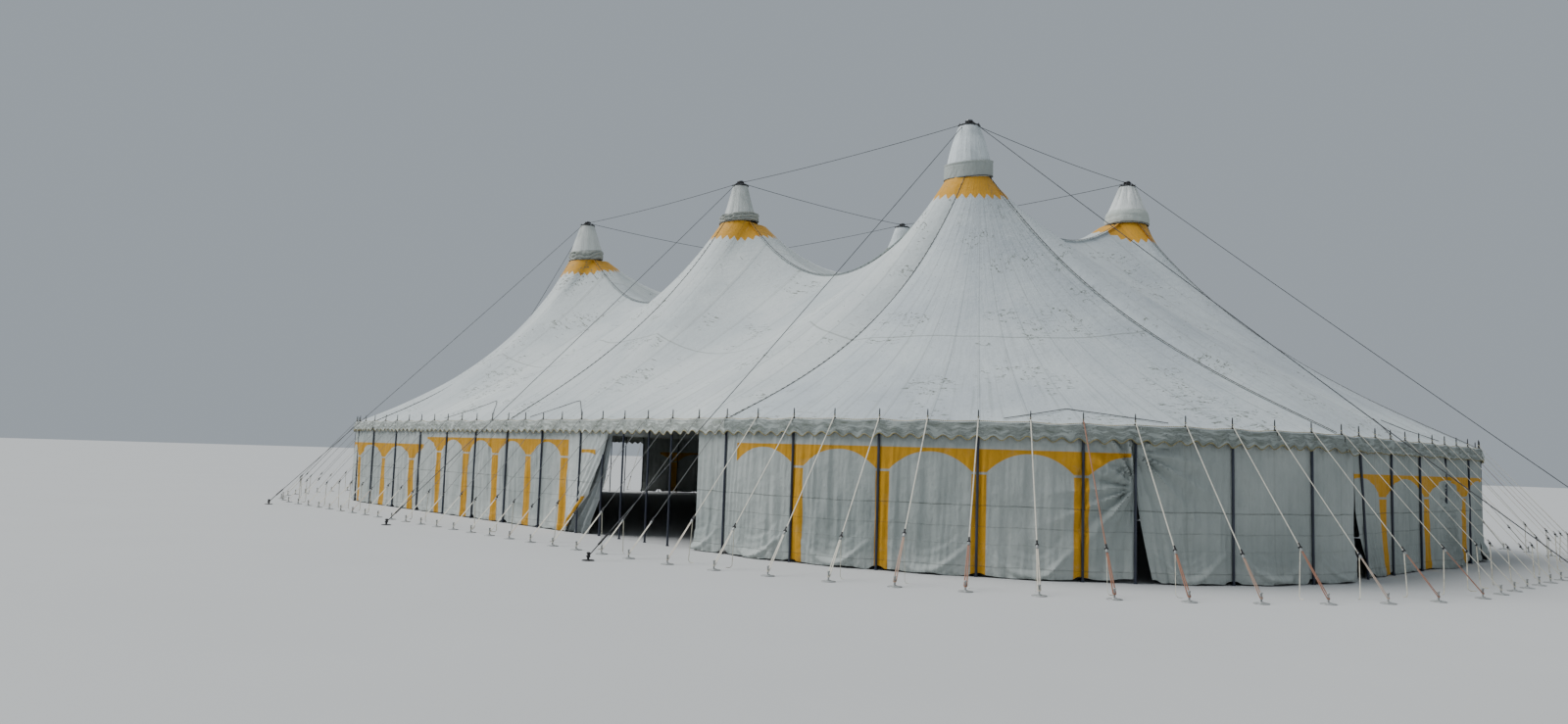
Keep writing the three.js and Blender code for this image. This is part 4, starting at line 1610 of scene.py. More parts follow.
@dataclass
class Lacing:
    """Laced seams: a pale flap beside a dark cord with loops through it."""

    lift: float = 0.007
    flap: float = 0.060
    flap_in: float = 0.012
    flap_wave: float = 0.004
    cord: float = 0.0055
    cord_up: float = 0.004
    zigzag: float = 0.007
    loop: float = 0.0045
    loop_in: float = 0.016
    loop_out: float = 0.030
    loop_up: float = 0.006
    first_loop: float = 0.02
    pitch: float = 0.12
    steps: int = 60

    def seam_paths(self) -> list[Array]:
        """Paths of all seams and ridges.

        Returns:
            One row of points for each seam, from the mast downward or from ring to ring.
        """
        v = np.linspace(0.0, 1.0, self.steps) ** 1.2
        paths = []
        half, corner = PLAN.side_bays // 2, PLAN.side_bays
        end = corner + PLAN.corner_bays
        for number in (0, half, corner, end, end + PLAN.end_bays):
            paths.append(ROOF.fall_line(number, v))
            paths.append(ROOF.fall_line(number + PLAN.half_count, v))
        q = np.linspace(0.0, 1.0, self.steps)
        gap = ROOF.ring_radius
        for y in (-PLAN.mast_y, PLAN.mast_y):
            for left in (-PLAN.mast_x, 0.0):
                x = left + gap + (PLAN.mast_x - 2 * gap) * q
                z = ROOF.ring_z - ROOF.long_sag * (1 - (2 * q - 1) ** 2)
                paths.append(np.stack([x, np.full_like(x, y), z - ROOF.slump(x, y)], axis=1))
        for x in (-PLAN.mast_x, 0.0, PLAN.mast_x):
            y = gap - PLAN.mast_y + 2 * (PLAN.mast_y - gap) * q
            z = ROOF.ring_z - ROOF.cross_sag * (1 - (2 * q - 1) ** 2)
            paths.append(np.stack([np.full_like(y, x), y, z - ROOF.slump(x, y)], axis=1))
        return paths

    def build(self) -> list[Piece]:
        """Makes the flaps, the cords and their loops.

        Returns:
            The flaps and the cords.
        """
        flap, cord = Shape(), Shape()
        for turn, path in enumerate(self.seam_paths()):
            path = path + np.array([0, 0, self.lift])
            tangent = np.gradient(path, axis=0)
            aside = np.cross(tangent, [0.0, 0.0, 1.0])
            aside /= np.linalg.norm(aside, axis=1, keepdims=True)
            inner = path + aside * self.flap_in
            wave = ripple(np.linspace(0, 20, len(path)), 0, turn, 0.4, 0)[:, None]
            outer = path + aside * (self.flap + self.flap_wave * wave)
            run = run_along(path)
            marks = np.stack([np.stack([np.full_like(run, across), run], -1) for across in (0.4, 0.6)])
            flap.grid(np.stack([inner, outer]), marks)
            spots = np.arange(self.first_loop, run[-1], self.pitch / 2)
            line = np.stack([np.interp(spots, run, path[:, k]) for k in range(3)], axis=1)
            side = np.stack([np.interp(spots, run, aside[:, k]) for k in range(3)], axis=1)
            zig = np.where(np.arange(len(spots)) % 2 == 0, 1.0, -1.0)[:, None]
            cord.sweep(line + side * zig * self.zigzag + [0, 0, self.cord_up], circle(5, self.cord))
            for p, s in zip(line[::2], side[::2]):
                inner = p - s * self.loop_in + [0, 0, self.cord_up]
                outer = p + s * self.loop_out + [0, 0, self.loop_up]
                cord.sweep(np.stack([inner, outer]), circle(4, self.loop))
        return [
            install(flap.build("lacing_flaps", ROOFS[False]), "roof_canvas"),
            # The cords' dark tone is partly painted shade along the seams
            install(cord.build("lacing_cords", LACING), "rigging"),
        ]


@dataclass(frozen=True)
class CapForm:
    """Radii of one mast cap at its top, waist, flare and skirt, and the slope of its foot."""

    style: CapStyle
    top: float
    waist: float
    flare: float
    flare_z: float
    skirt: float
    tilt: Pair = (0.0, 0.0)


CAP_FORMS = {
    "front_left": CapForm(CapStyle.BUNCHED, 0.188, 0.296, 0.420, 7.010, 0.428, (-0.009, 0.060)),
    "front_centre": CapForm(CapStyle.BUNCHED, 0.176, 0.250, 0.352, 6.955, 0.424, (0.030, 0.033)),
    "front_right": CapForm(CapStyle.FLAT_BAND, 0.196, 0.306, 0.394, 7.070, 0.446, (-0.011, 0.077)),
    "back_left": CapForm(CapStyle.BUNCHED, 0.180, 0.280, 0.390, 6.990, 0.424, (0.02, -0.03)),
    "back_centre": CapForm(CapStyle.FLAT_BAND, 0.186, 0.290, 0.390, 7.040, 0.438, (0.0, -0.04)),
    "back_right": CapForm(CapStyle.PLEATED, 0.166, 0.296, 0.412, 7.060, 0.462),
}


@dataclass
class MastCap:
    """The cloth cone round a mast head and its skirt over the ring."""

    name: str
    centre: Pair
    seed: int
    sides: int = 120
    top: float = 7.640
    waist_z: float = 7.320
    foot_z: float = 6.752
    cone_share: float = 0.55
    cone_rows: int = 24
    skirt_rows: int = 34
    lip_radii: Pair = (0.068, 0.115)
    lip_in: float = 0.010
    lip_up: Triple = (0.006, 0.012, 0.007)
    girth_mark: float = 1.12
    draw_rope: float = 0.0075
    draw_up: float = 0.016
    clamp_count: int = 6
    clamp_size: Triple = (0.026, 0.030, 0.062)
    flat: Pair = (2.85, 1.05)

    @property
    def form(self) -> CapForm:
        """Radii and style of this cap."""
        return CAP_FORMS[self.name]

    @property
    def drop(self) -> float:
        """Distance that the ring and the skirt hang lower."""
        return RING_DROPS.get(self.name, 0.0)

    def lean(self, turn: Array) -> Array:
        """Height that the slope of the foot adds at an angle round the mast."""
        return self.form.tilt[0] * np.cos(turn) + self.form.tilt[1] * np.sin(turn)

    def profile(self, turn: Array, share: Array) -> tuple[Array, Array]:
        """Radius and height of the cloth.

        Args:
            turn: angles round the mast.
            share: places from the top, 0, to the foot, 1.

        Returns:
            Radii and heights.
        """
        form = self.form
        cone = np.clip(share / self.cone_share, 0, 1)
        band = np.clip((share - self.cone_share) / (1 - self.cone_share), 0, 1)
        flare_z, foot = form.flare_z - self.drop, self.foot_z - self.drop
        height = self.top + (flare_z - self.top) * cone + (foot - flare_z) * band
        curve = np.polyfit((self.top, self.waist_z, flare_z), (form.top, form.waist, form.flare), 2)
        radius = np.polyval(curve, np.maximum(height, flare_z))
        height = height + self.lean(turn) * cone**2
        closing = smooth(turn, 0.0, 0.5) * smooth(2 * math.pi - turn, 0.0, 0.5)
        soft = closing * ripple(turn * 1.4, share * 0.8, self.seed, 1.0, 0.7)
        wander = 2 * np.sin(2 * turn + self.seed)
        rising = np.sin(9 * turn + self.seed) + 0.6 * np.sin(23 * turn + wander)
        if form.style is CapStyle.FLAT_BAND:
            ledge = smooth(band, 0.0, 0.05)
            rim = 0.007 * fade(band - 0.09, 0.05) - 0.005 * fade(band - 0.17, 0.04)
            slant = 0.006 * closing * np.sin(26 * turn + 9 * band + self.seed) * smooth(band, 0.2, 0.8)
            radius = radius + 0.004 * (rising + soft) * cone * (1 - ledge)
            radius = mix(radius, form.skirt + rim + slant * np.cos(turn * 1.5) + 0.004 * soft, ledge)
        elif form.style is CapStyle.BUNCHED:
            roll = 2.6 * band + 0.42 * np.sin(2 * turn + self.seed) + 0.26 * np.sin(5 * turn)
            folds = 0.042 * np.abs(np.sin(math.pi * (roll + 0.25 * soft))) ** 0.6
            tuck = 0.014 * closing * ripple(turn * 2.6, band * 2.2, self.seed + 2, 1.0, 0.8)
            radius = radius + (0.005 * rising + 0.008 * soft) * cone * (1 - 0.5 * band)
            swell = form.skirt - form.flare
            radius = radius + np.where(band > 0, smooth(band, 0, 0.08) * (folds + tuck + swell - 0.012), 0)
            heave = 0.018 * np.sin(4 * turn + self.seed) * np.sin(math.pi * band)
            height = height + np.where(band > 0, heave, 0)
        else:
            pleat = np.abs(np.sin(6 * turn + 0.9 * np.sin(3 * turn))) ** 0.6 - 0.6
            radius = radius + 0.040 * pleat * np.sin(math.pi * cone**0.6) + 0.006 * soft
            puff = (form.skirt - form.flare) * np.sin(math.pi * np.minimum(0.85 * band, 0.5)) ** 0.8
            rolls = 0.012 * np.abs(np.sin(2 * math.pi * band + 0.4 * np.sin(4 * turn)))
            radius = radius + puff + rolls * (band > 0) + 0.006 * np.cos(15 * turn) * band
        return radius - 0.014 * smooth(band, 0.9, 1.0), height

    def build(self) -> list[Piece]:
        """Makes the cloth, its draw rope and the clamps on its top.

        Returns:
            The three pieces.
        """
        turn = np.linspace(0, 2 * math.pi, self.sides + 1)
        joint = self.cone_share
        cone = np.linspace(0, joint, self.cone_rows)
        share = np.concatenate([cone, np.linspace(joint + 0.012, 1.0, self.skirt_rows)])
        angle, rows = np.meshgrid(turn, share)
        radius, height = self.profile(angle, rows)
        radius[:, -1], height[:, -1] = radius[:, 0], height[:, 0]
        x, y = self.centre
        points = np.stack([x + radius * np.cos(angle), y + radius * np.sin(angle), height], axis=-1)
        lip_r = np.array([*self.lip_radii, self.form.top - self.lip_in])[:, None]
        lip_z = self.top + np.array(self.lip_up)[:, None]
        lip = [x + lip_r * np.cos(turn), y + lip_r * np.sin(turn), np.broadcast_to(lip_z, (3, len(turn)))]
        points = np.concatenate([np.stack(lip, axis=-1), points])
        run = np.concatenate([np.zeros((3, len(turn))), rows - joint])
        marks = np.stack([np.broadcast_to(turn * self.girth_mark, run.shape), run], axis=-1)
        shape = Shape()
        shape.grid(points, marks)
        finish = CAP_FINISHES[self.form.style]
        cloth = install(shape.build(f"cap_{self.name}_cloth", finish), "cap_canvas", f"mast_cap_{self.name}")
        rope = Shape()
        ring = points[-3].copy()
        away = ring[:, :2] - np.array(self.centre)
        ring[:, :2] += 0.005 * away / np.linalg.norm(away, axis=1, keepdims=True)
        ring[:, 2] = self.foot_z - self.drop + self.lean(turn) + self.draw_up
        ring[:, 2] += 0.004 * np.sin(4 * turn + self.seed)
        rope.sweep(ring, circle(6, self.draw_rope))
        # The draw rope's dark tone also stands for the shade line under the band: painted shade
        draw = install(rope.build(f"cap_{self.name}_draw_rope", LACING), "rigging")
        clamps = self.clamps()
        return [cloth, draw, clamps]

    def clamps(self) -> Piece:
        """Makes the clamps, pins and binding cord round the mast head.

        Returns:
            All of them as one piece.
        """
        shape = Shape()
        x, y = self.centre
        rim = self.form.top - 0.004
        for i in range(self.clamp_count):
            out = level(2 * math.pi * (i + 0.37 * self.seed) / self.clamp_count)
            spot = np.array([x, y, self.top + 0.012]) + out * rim
            shape.block(spot, self.clamp_size, np.cross(out, [0, 0, 1]), 0.25)
            pin = [spot, spot + out * 0.012 + [0, 0, 0.020], spot + out * 0.004 + [0, 0, 0.034]]
            shape.sweep(np.array(pin), circle(6, 0.006))
        for side in (-1, 1):
            foot = np.array([x + 0.036 * side, y - 0.066, self.top + 0.008])
            shape.block(foot + [0, 0, 0.056], (0.016, 0.016, 0.110), (0, 0, 1), 0.3, (1, 0, 0))
        ring = np.linspace(0, 2 * math.pi, 33)
        path = [x + rim * np.cos(ring), y + rim * np.sin(ring), self.top + 0.010 + 0.005 * np.sin(5 * ring)]
        shape.sweep(np.stack(path, 1), circle(8, 0.017), 1 + 0.25 * np.sin(11 * ring))
        return install(shape.build(f"cap_{self.name}_clamps", SPIKE_STEEL), "rigging")


@dataclass
class KingMast:
    """Steel mast on its base plate, with its head, bale ring and hoist ropes."""

    name: str
    centre: Pair
    radius: float = 0.060
    top: float = 7.750
    head: float = 0.022
    head_radius: float = 0.068
    head_bevel: float = 0.006
    joints: tuple[float, ...] = (5.2, 2.6)
    flange: tuple[Pair, ...] = (
        (0.0, 0.034), (0.022, 0.030), (0.022, 0.002), (0.022, -0.002), (0.022, -0.030), (0.0, -0.034),
    )
    ring_height: float = 6.725
    ring_inner: float = 0.332
    ring_outer: float = 0.377
    hoist_top: float = 7.590
    hoist_rope_radius: float = 0.007
    base: float = 0.400
    base_thick: float = 0.024
    gusset_size: Triple = (0.010, 0.095, 0.10)
    pin_circle: float = 0.235
    pin_radius: float = 0.013
    pin_height: float = 0.045
    lug_size: Triple = (0.012, 0.05, 0.05)
    block_size: Triple = (0.05, 0.05, 0.03)
    quarters: int = 4

    @property
    def ring_z(self) -> float:
        """Height of this mast's ring."""
        return self.ring_height - RING_DROPS.get(self.name, 0.0)

    @property
    def ring_middle(self) -> float:
        """Radius of the middle of the ring's bar."""
        return (self.ring_inner + self.ring_outer) / 2

    @property
    def ring_bar(self) -> float:
        """Radius of the ring's bar itself."""
        return (self.ring_outer - self.ring_inner) / 2

    def tube(self) -> Shape:
        """The tube with its joints, head, base plate, gussets and pins.

        Returns:
            The mesh.
        """
        steel = Shape()
        r, z, axis = self.radius, self.top, np.array([*self.centre, 0.0])
        profile = [(r * 0.2, z + 0.002), (r, z)]
        for joint in self.joints:
            profile += [(r + out, joint + up) for out, up in self.flange]
        profile += [(r, 0.030), (r + 0.010, 0.022)]
        steel.lathe(self.centre, profile, 24)
        wide, bevel = self.head_radius, self.head_bevel
        head = [(0.002, z + self.head), (wide - bevel, z + self.head), (wide, z + self.head - bevel),
                (wide, z + 0.004), (wide - 0.008, z), (r, z)]
        steel.lathe(self.centre, head, 24)
        plate = (self.base, self.base_thick, self.base)
        steel.block(axis + [0, 0, self.base_thick / 2], plate, (0, 1, 0), 0.1)
        for i in range(self.quarters):
            out = level(math.pi / 2 * i + math.pi / 4)
            foot = axis + out * (r + 0.045)
            steel.block(foot + [0, 0, 0.075], self.gusset_size, out, 0.1)
            pin = axis + out * self.pin_circle
            steel.sweep(np.array([pin, pin + [0, 0, self.pin_height]]), circle(6, self.pin_radius))
        return steel

    def bale_ring(self) -> Shape:
        """The ring that carries the canvas, with its lugs.

        Returns:
            The mesh.
        """
        ring = Shape()
        x, y = self.centre
        turn = np.linspace(0, 2 * math.pi, 49)
        mid = self.ring_middle
        path = np.stack([x + mid * np.cos(turn), y + mid * np.sin(turn), np.full(49, self.ring_z)], axis=1)
        ring.sweep(path, circle(10, self.ring_bar))
        for i in range(self.quarters):
            out = level(math.pi / 2 * i)
            lug = np.array([x, y, self.ring_z + self.ring_bar]) + out * mid
            ring.block(lug, self.lug_size, out, 0.2)
        return ring

    def hoist_ropes(self) -> Shape:
        """The ropes that the ring hangs from, with their blocks.

        Returns:
            The mesh.
        """
        ropes = Shape()
        x, y = self.centre
        for i in range(self.quarters):
            out = level(math.pi / 2 * i)
            start = np.array([x, y, self.hoist_top]) + out * (self.radius + 0.004)
            stop = np.array([x, y, self.ring_z + self.ring_bar + 0.02]) + out * self.ring_middle
            ropes.sweep(np.linspace(start, stop, 5), circle(6, self.hoist_rope_radius))
            ropes.block(start - out * 0.004, self.block_size, out, 0.25)
        return ropes

    def build(self) -> list[Piece]:
        """Makes the mast, its ring and its ropes.

        Returns:
            The three pieces.
        """
        name = f"mast_{self.name}"
        return [
            install(self.tube().build(f"{name}_steel", MAST_STEEL), "mast_steel", f"king_mast_{self.name}"),
            install(self.bale_ring().build(f"{name}_ring", GALVANISED), "mast_steel"),
            install(self.hoist_ropes().build(f"{name}_hoist_ropes", WIRE_ROPE), "rigging"),
        ]


@dataclass(frozen=True)
class Gap:
    """A place where a curtain's edge stands open near the ground."""

    number: float
    width: float
    reach: float
    power: float = 1.6

    def opening(self, height: Array) -> Array:
        """Distance in bays that the edge has moved at a height."""
        return self.width * np.clip(1 - height / self.reach, 0, 1) ** self.power


@dataclass(frozen=True)
class Tie:
    """A place where a curtain is tied to its pole, with folds drawn from it."""

    number: float
    height: float
    side: int
    pull: float = 0.020
    reach: float = 0.62
    flare: float = 0.0
    rays: float = 6.5

    def over(self, numbers: Array, height: Array) -> Array:
        """Distance that the cloth comes out over the pole below the tie.

        Args:
            numbers: pole numbers on the cloth.
            height: heights.

        Returns:
            Distances.
        """
        x = (numbers - self.number) * PLAN.bay
        below = self.height - height
        width = 0.10 + 0.36 * np.clip(below, 0, 1)
        fan = 1 + 0.35 * np.sin(9 * math.pi * x / width + 1.0)
        out = self.flare * smooth(below, 0.0, 0.10) * (0.35 + 0.65 * below)
        return out * fan * np.exp(-((x / width) ** 4))

    def folds(self, numbers: Array, height: Array) -> Array:
        """Folds that fan out from the tie on its side of the pole.

        Args:
            numbers: pole numbers on the cloth.
            height: heights.

        Returns:
            Distances that the cloth moves outward.
        """
        x = (numbers - self.number) * PLAN.bay * self.side
        z = height - self.height
        reach = np.hypot(x, z)
        turn = np.arctan2(z, np.maximum(x, 1e-6))
        wave = turn * self.rays + 0.9 * np.sin(turn * 4 + self.height)
        fold = 1.4 - 2 * np.abs(np.sin(wave)) ** 0.8 + 0.3 * np.sin(turn * 23 + 1.0)
        return self.pull * fold * (smooth(reach, 0.01, 0.22) * fade(reach, self.reach) * (x > 0))


def sway(numbers: Array) -> Array:
    """How far a curtain is from the side of the poles that stand outside it.

    Args:
        numbers: pole numbers, which may be fractions.

    Returns:
        0 at the poles outside the curtain, 1 midway between two of them.
    """
    n = np.mod(np.asarray(numbers, float), PLAN.count)
    swap, half = PLAN.half_count // 2, PLAN.half_count
    odd_run = (n >= swap) & (n < half)
    wave = np.sin(math.pi / 2 * n) ** 2
    step = ((n > swap - 1) & (n < swap)) | ((n > half - 1) & (n < half))
    return np.where(step, 0.0, np.where(odd_run, 1 - wave, wave))


CURTAIN_SLACK = 1.03


@dataclass
class CurtainWall:
    """A hung curtain between two poles, in panels that meet at gaps."""

    name: str
    first: float
    last: float
    arcades: tuple[Arcade, ...] = ()
    gaps: tuple[Gap, ...] = ()
    ties: tuple[Tie, ...] = ()
    also_on: tuple[str, ...] = ()
    # Share of painted light: how far the curtain's tones go towards whiter ones
    whiteness: float = 0.0
    skirt: float = 1.0
    cells: int = 22
    rows: int = 46
    row_spread: float = 0.78
    top: float = 1.928
    foot: float = 0.004
    bulge: float = 0.012
    bulge_change: float = 0.020
    gathers: float = 0.005
    long_folds: float = 0.012
    fine_folds: float = 0.006
    slack: float = 0.009
    crest: float = 0.035
    crest_rise: float = 0.34
    crest_change: float = 0.02
    belly: float = 0.105
    upper_belly: float = 0.030
    crease: float = 0.012
    crease_pitch: float = 0.11
    crease_reach: float = 0.25
    tuck: float = 0.03
    pole_room: float = 0.019
    hem_lift: float = 0.012
    hem_wave: float = 0.010
    crescent: float = 0.062
    most_lift: float = 0.10

    def offset(self, numbers: Array, height: Array, moved: Array) -> Array:
        """Distance of the cloth outside the eave line.

        Args:
            numbers: pole numbers on the flat cloth.
            height: heights.
            moved: pole numbers where the cloth hangs.

        Returns:
            Distances.
        """
        share = 1 - (height - self.foot) / (self.top - self.foot)
        pole = np.minimum(1, 3.2 * np.abs(np.sin(math.pi * numbers)))
        held = 0.4 + 0.6 * pole
        bay = ripple(np.floor(numbers) * 1.37, 0.0, 31, 0.9, 0.0)
        bulge = (self.bulge + self.bulge_change * bay) * pole
        bulge = bulge * np.sin(math.pi * np.clip(share, 0, 1) ** 0.8)
        gather = self.gathers * ripple(numbers, share, 32, 9.0, 0.3) * (1 - share) ** 1.5
        folds = self.long_folds * ripple(numbers, share, 33, 2.8, 0.35) * (0.3 + share) * held
        folds = folds + self.fine_folds * ripple(numbers + 0.12 * share, share, 39, 6.0, 0.5)
        slack = self.slack * ripple(numbers, share * 3, 34, 1.3, 0.8) * np.sin(math.pi * share)
        total = (bulge + folds + slack) * pole + gather * held
        total = total + self.skirt * self.skirt_folds(numbers, height)
        for tie in self.ties:
            total = total + tie.folds(numbers, height)
        away = np.abs(moved - np.round(moved)) * PLAN.bay
        room = 0.001 + 2.2 * np.maximum(away - self.pole_room, 0)
        inner = sway(np.round(moved)) > 0.5
        total = np.where(inner, np.maximum(total, -room), np.minimum(total, room))
        for tie in self.ties:
            total = total + tie.over(numbers, height)
        return total

    def skirt_folds(self, numbers: Array, height: Array) -> Array:
        """Rolls of the cloth that rests on the ground between the outer poles.

        Args:
            numbers: pole numbers on the flat cloth.
            height: heights.

        Returns:
            Distances that the cloth moves outward.
        """
        out = np.clip(sway(numbers), 0, 1)
        swell = (0.8 + 0.35 * ripple(numbers, 0, 35, 0.33, 0)) * out**0.7
        crest = self.crest + self.crest_rise * (1 - out) ** 1.5
        above = height - (crest + self.crest_change * ripple(numbers, 0, 37, 0.9, 0))
        belly = self.belly * swell * smooth(above, 0.13, 0.0)
        belly = belly + self.upper_belly * swell * smooth(above, 0.30, 0.20)
        wave = np.sin(2 * math.pi * above / self.crease_pitch)
        crease = self.crease * swell * wave * fade(above, self.crease_reach)
        return belly + crease - self.tuck * swell * smooth(above, 0.0, -0.04)

    def build(self) -> Piece:
        """Returns:
            The curtain.
        """
        stops = sorted({self.first, *(gap.number for gap in self.gaps), self.last})
        shape = Shape()
        fall = np.linspace(0, 1, self.rows + 1) ** self.row_spread
        for left, right in zip(stops[:-1], stops[1:]):
            count = max(6, round((right - left) * self.cells))
            numbers, share = np.meshgrid(np.linspace(left, right, count + 1), fall)
            lift = self.hem_lift + self.hem_wave * ripple(numbers, 0, 36, 0.9, 0)
            arch = 0.7 + 0.5 * ripple(numbers, 0, 38, 0.3, 0)
            lift = lift + self.crescent * fade(sway(numbers), 0.05) * arch
            z = self.top - share * (self.top - self.foot - np.clip(lift, 0.0, self.most_lift))
            moved = numbers.copy()
            for gap in self.gaps:
                if abs(left - gap.number) < 1e-6:
                    moved = moved + gap.opening(z) * fade(numbers - left, 0.45 + gap.width)
            points = PLAN.beside(moved, self.offset(numbers, z, moved), z)
            shape.grid(points, np.stack([numbers, z], axis=-1))
        finish = CurtainCanvas.bleached(f"curtain_{self.name}", self.whiteness, self.arcades)
        piece = install(shape.build(f"curtain_{self.name}", finish), "curtain", f"wall_{self.name}")
        width = (self.last - self.first) * PLAN.bay * CURTAIN_SLACK
        return piece


@dataclass
class TiedCurtain:
    """The entrance curtain: its free half is folded back inside along a slanting edge."""

    first: float = 13.4
    top: float = 1.928
    foot: float = 0.012
    rows: int = 52
    columns: int = 64
    lining_columns: int = 44
    lining_drop: float = 0.02
    width: float = 1.65
    heights: tuple[float, ...] = (0.0, 0.22, 0.42, 0.66, 0.97, 1.32, 1.73, 1.93)
    edge: tuple[float, ...] = (13.47, 13.68, 14.0, 14.41, 14.73, 15.0, 15.25, 15.32)
    lining: tuple[float, ...] = (14.36, 14.48, 14.68, 14.92, 15.10, 15.22, 15.33, 15.36)
    fold_depth: float = 0.030
    fold_pitch: float = 0.42
    roll_top: float = 0.64
    roll_foot: float = 0.10
    roll_mark: float = 34.325
    white: Colour = shade(206, 210, 206)
    grey: Colour = shade(182, 189, 186)
    # Darker tones of the same cloth for the folded half inside the entrance: painted shade
    lining_white: Colour = shade(140, 146, 146)
    lining_grey: Colour = shade(118, 124, 126)

    def panel(self) -> Shape:
        """The half that still hangs across the entrance, and its painted edge.

        Returns:
            The mesh.
        """
        shape = Shape()
        side, share = np.meshgrid(np.linspace(0, 1, self.columns + 1), np.linspace(0, 1, self.rows + 1))
        z = self.top - share * (self.top - self.foot)
        edge = np.interp(z, self.heights, self.edge)
        numbers = mix(self.first, edge, side)
        free = smooth(side, 0.2, 1.0)
        slant = (edge - numbers) * PLAN.bay * 3 + 0.5 * z
        offset = 0.007 + 0.005 * ripple(numbers, z, 51, 5.0, 0.6) * (1 - share * 0.3)
        wave = np.sin(2 * math.pi * slant / self.fold_pitch)
        offset = offset + free * share * (self.fold_depth * wave + self.fold_depth)
        offset = offset - 0.020 * smooth(side, 0.97, 1.0)
        shape.grid(PLAN.beside(numbers, offset, z), np.stack([numbers, z], axis=-1))
        across, z = np.meshgrid(np.linspace(-1, 1, 7), np.linspace(self.roll_top, self.roll_foot, 22))
        edge = np.interp(z, self.heights, self.edge)
        roll = 0.045 + 0.022 * np.cos(across * math.pi / 2) + 0.006 * np.sin(z * 31)
        points = PLAN.beside(edge - 0.06 + across * 0.085, roll, z)
        shape.grid(points, np.stack([self.roll_mark + across * 0.05, z + 0.3], axis=-1))
        return shape

    def fold(self) -> Shape:
        """The half that is folded back and hangs inside.

        Returns:
            The mesh.
        """
        shape = Shape()
        columns = np.linspace(0, 1, self.lining_columns + 1)
        side, share = np.meshgrid(columns, np.linspace(0, 1, self.rows + 1))
        top = self.top - self.lining_drop
        z = top - share * (top - self.foot)
        near = np.interp(z, self.heights, self.edge) - 0.34 * smooth(share, 0.0, 0.4)
        numbers = mix(near, np.interp(z, self.heights, self.lining), side)
        wave = np.sin(2 * math.pi * (3.6 * side + 0.25 * np.sin(4 * share) + 0.4 * share))
        offset = -0.055 + share * 0.034 * wave + 0.008 * ripple(side * 3, share, 53, 1.5, 1.2)
        shape.grid(PLAN.beside(numbers, offset, z), np.stack([numbers + 4.0, z], axis=-1))
        return shape

    def build(self) -> Piece:
        """Makes the curtain and its folded half.

        Returns:
            The half that hangs across the entrance.
        """
        panel = self.panel()
        arcades = (low_arcade(14.05, 14.74, 15.6, 2.6), Arcade(34.2, 34.5, self.roll_mark, 1.925, 0.19))
        finish = CurtainCanvas("curtain_entrance", self.white, self.grey, arcades=arcades)
        piece = install(panel.build("curtain_entrance", finish), "curtain", "entrance_curtain")
        # The folded half inside takes the darker tones: painted shade
        shadow = CurtainCanvas("curtain_lining", self.lining_white, self.lining_grey)
        lining = install(self.fold().build("curtain_entrance_fold", shadow), "curtain")
        return piece


# Side poles that lean, and how many bays along their foot stands
LEANING_POLES = {35: 0.34}


@dataclass
class SidePoles:
    """A set of side poles with the belt that ties their heads together."""

    name: str
    first: int
    last: int
    radius: float = 0.0165
    offset: float = 0.020
    top: float = 1.936
    tube_rows: tuple[float, ...] = (1.928, 1.30, 0.70, 0.016)
    belt_top: float = 1.9405
    belt_width: float = 0.064
    belt_thick: float = 0.008
    belt_lead: float = 0.08
    sides: int = 12

    def build(self) -> list[Piece]:
        """Makes the poles and the belt.

        Returns:
            The poles and the belt.
        """
        poles = Shape()
        r = self.radius
        profile = [
            (0.004, self.top), (r * 0.8, self.top - 0.002), *((r, z) for z in self.tube_rows),
            (r + 0.008, 0.014), (r + 0.009, 0.002), (0.003, 0.0),
        ]
        for n in range(self.first, self.last):
            side = self.offset if PLAN.is_outer(n) else -self.offset
            if n in LEANING_POLES:
                head = PLAN.beside(n, side, self.top)
                foot = PLAN.beside(n + LEANING_POLES[n], side + 0.01, 0.0)
                poles.sweep(np.linspace(head, foot, 5), circle(self.sides, r), tint=0.1 * n)
                continue
            x, y, _ = PLAN.beside(n, side, 0.0)
            poles.lathe((x, y), profile, self.sides, tint=0.1 * n)
        steel = install(poles.build(f"poles_{self.name}", NAVY), "pole_paint", f"side_poles_{self.name}")
        belt = Shape()
        bays = self.last - self.first
        numbers = np.linspace(self.first - self.belt_lead, self.last - self.belt_lead, 4 * bays + 1)
        line = PLAN.beside(numbers, 0.0, self.belt_top - 0.006)
        belt.sweep(line, strap(self.belt_width, self.belt_thick))
        webbing = install(belt.build(f"belt_{self.name}", TAIL_TRIM), "guy_rope")
        return [steel, webbing]


# Guys with thin grey ropes, with orange straps and ropes, and with a strap tint of their own
WEATHERED_GUYS = (*range(-7, 21), *range(62, 80))
ORANGE_GUYS = range(25, 35)
ORANGE_ROPES = (28, 47, 90)
STRAP_TINTS = {26: 0.75, 28: 0.9}


@dataclass
class GuyKit:
    """The meshes of one set of guys, which each guy adds its parts to."""

    ropes: Shape = field(default_factory=Shape)
    straps: Shape = field(default_factory=Shape)
    steel: Shape = field(default_factory=Shape)
    dark: Shape = field(default_factory=Shape)
    tails: Shape = field(default_factory=Shape)


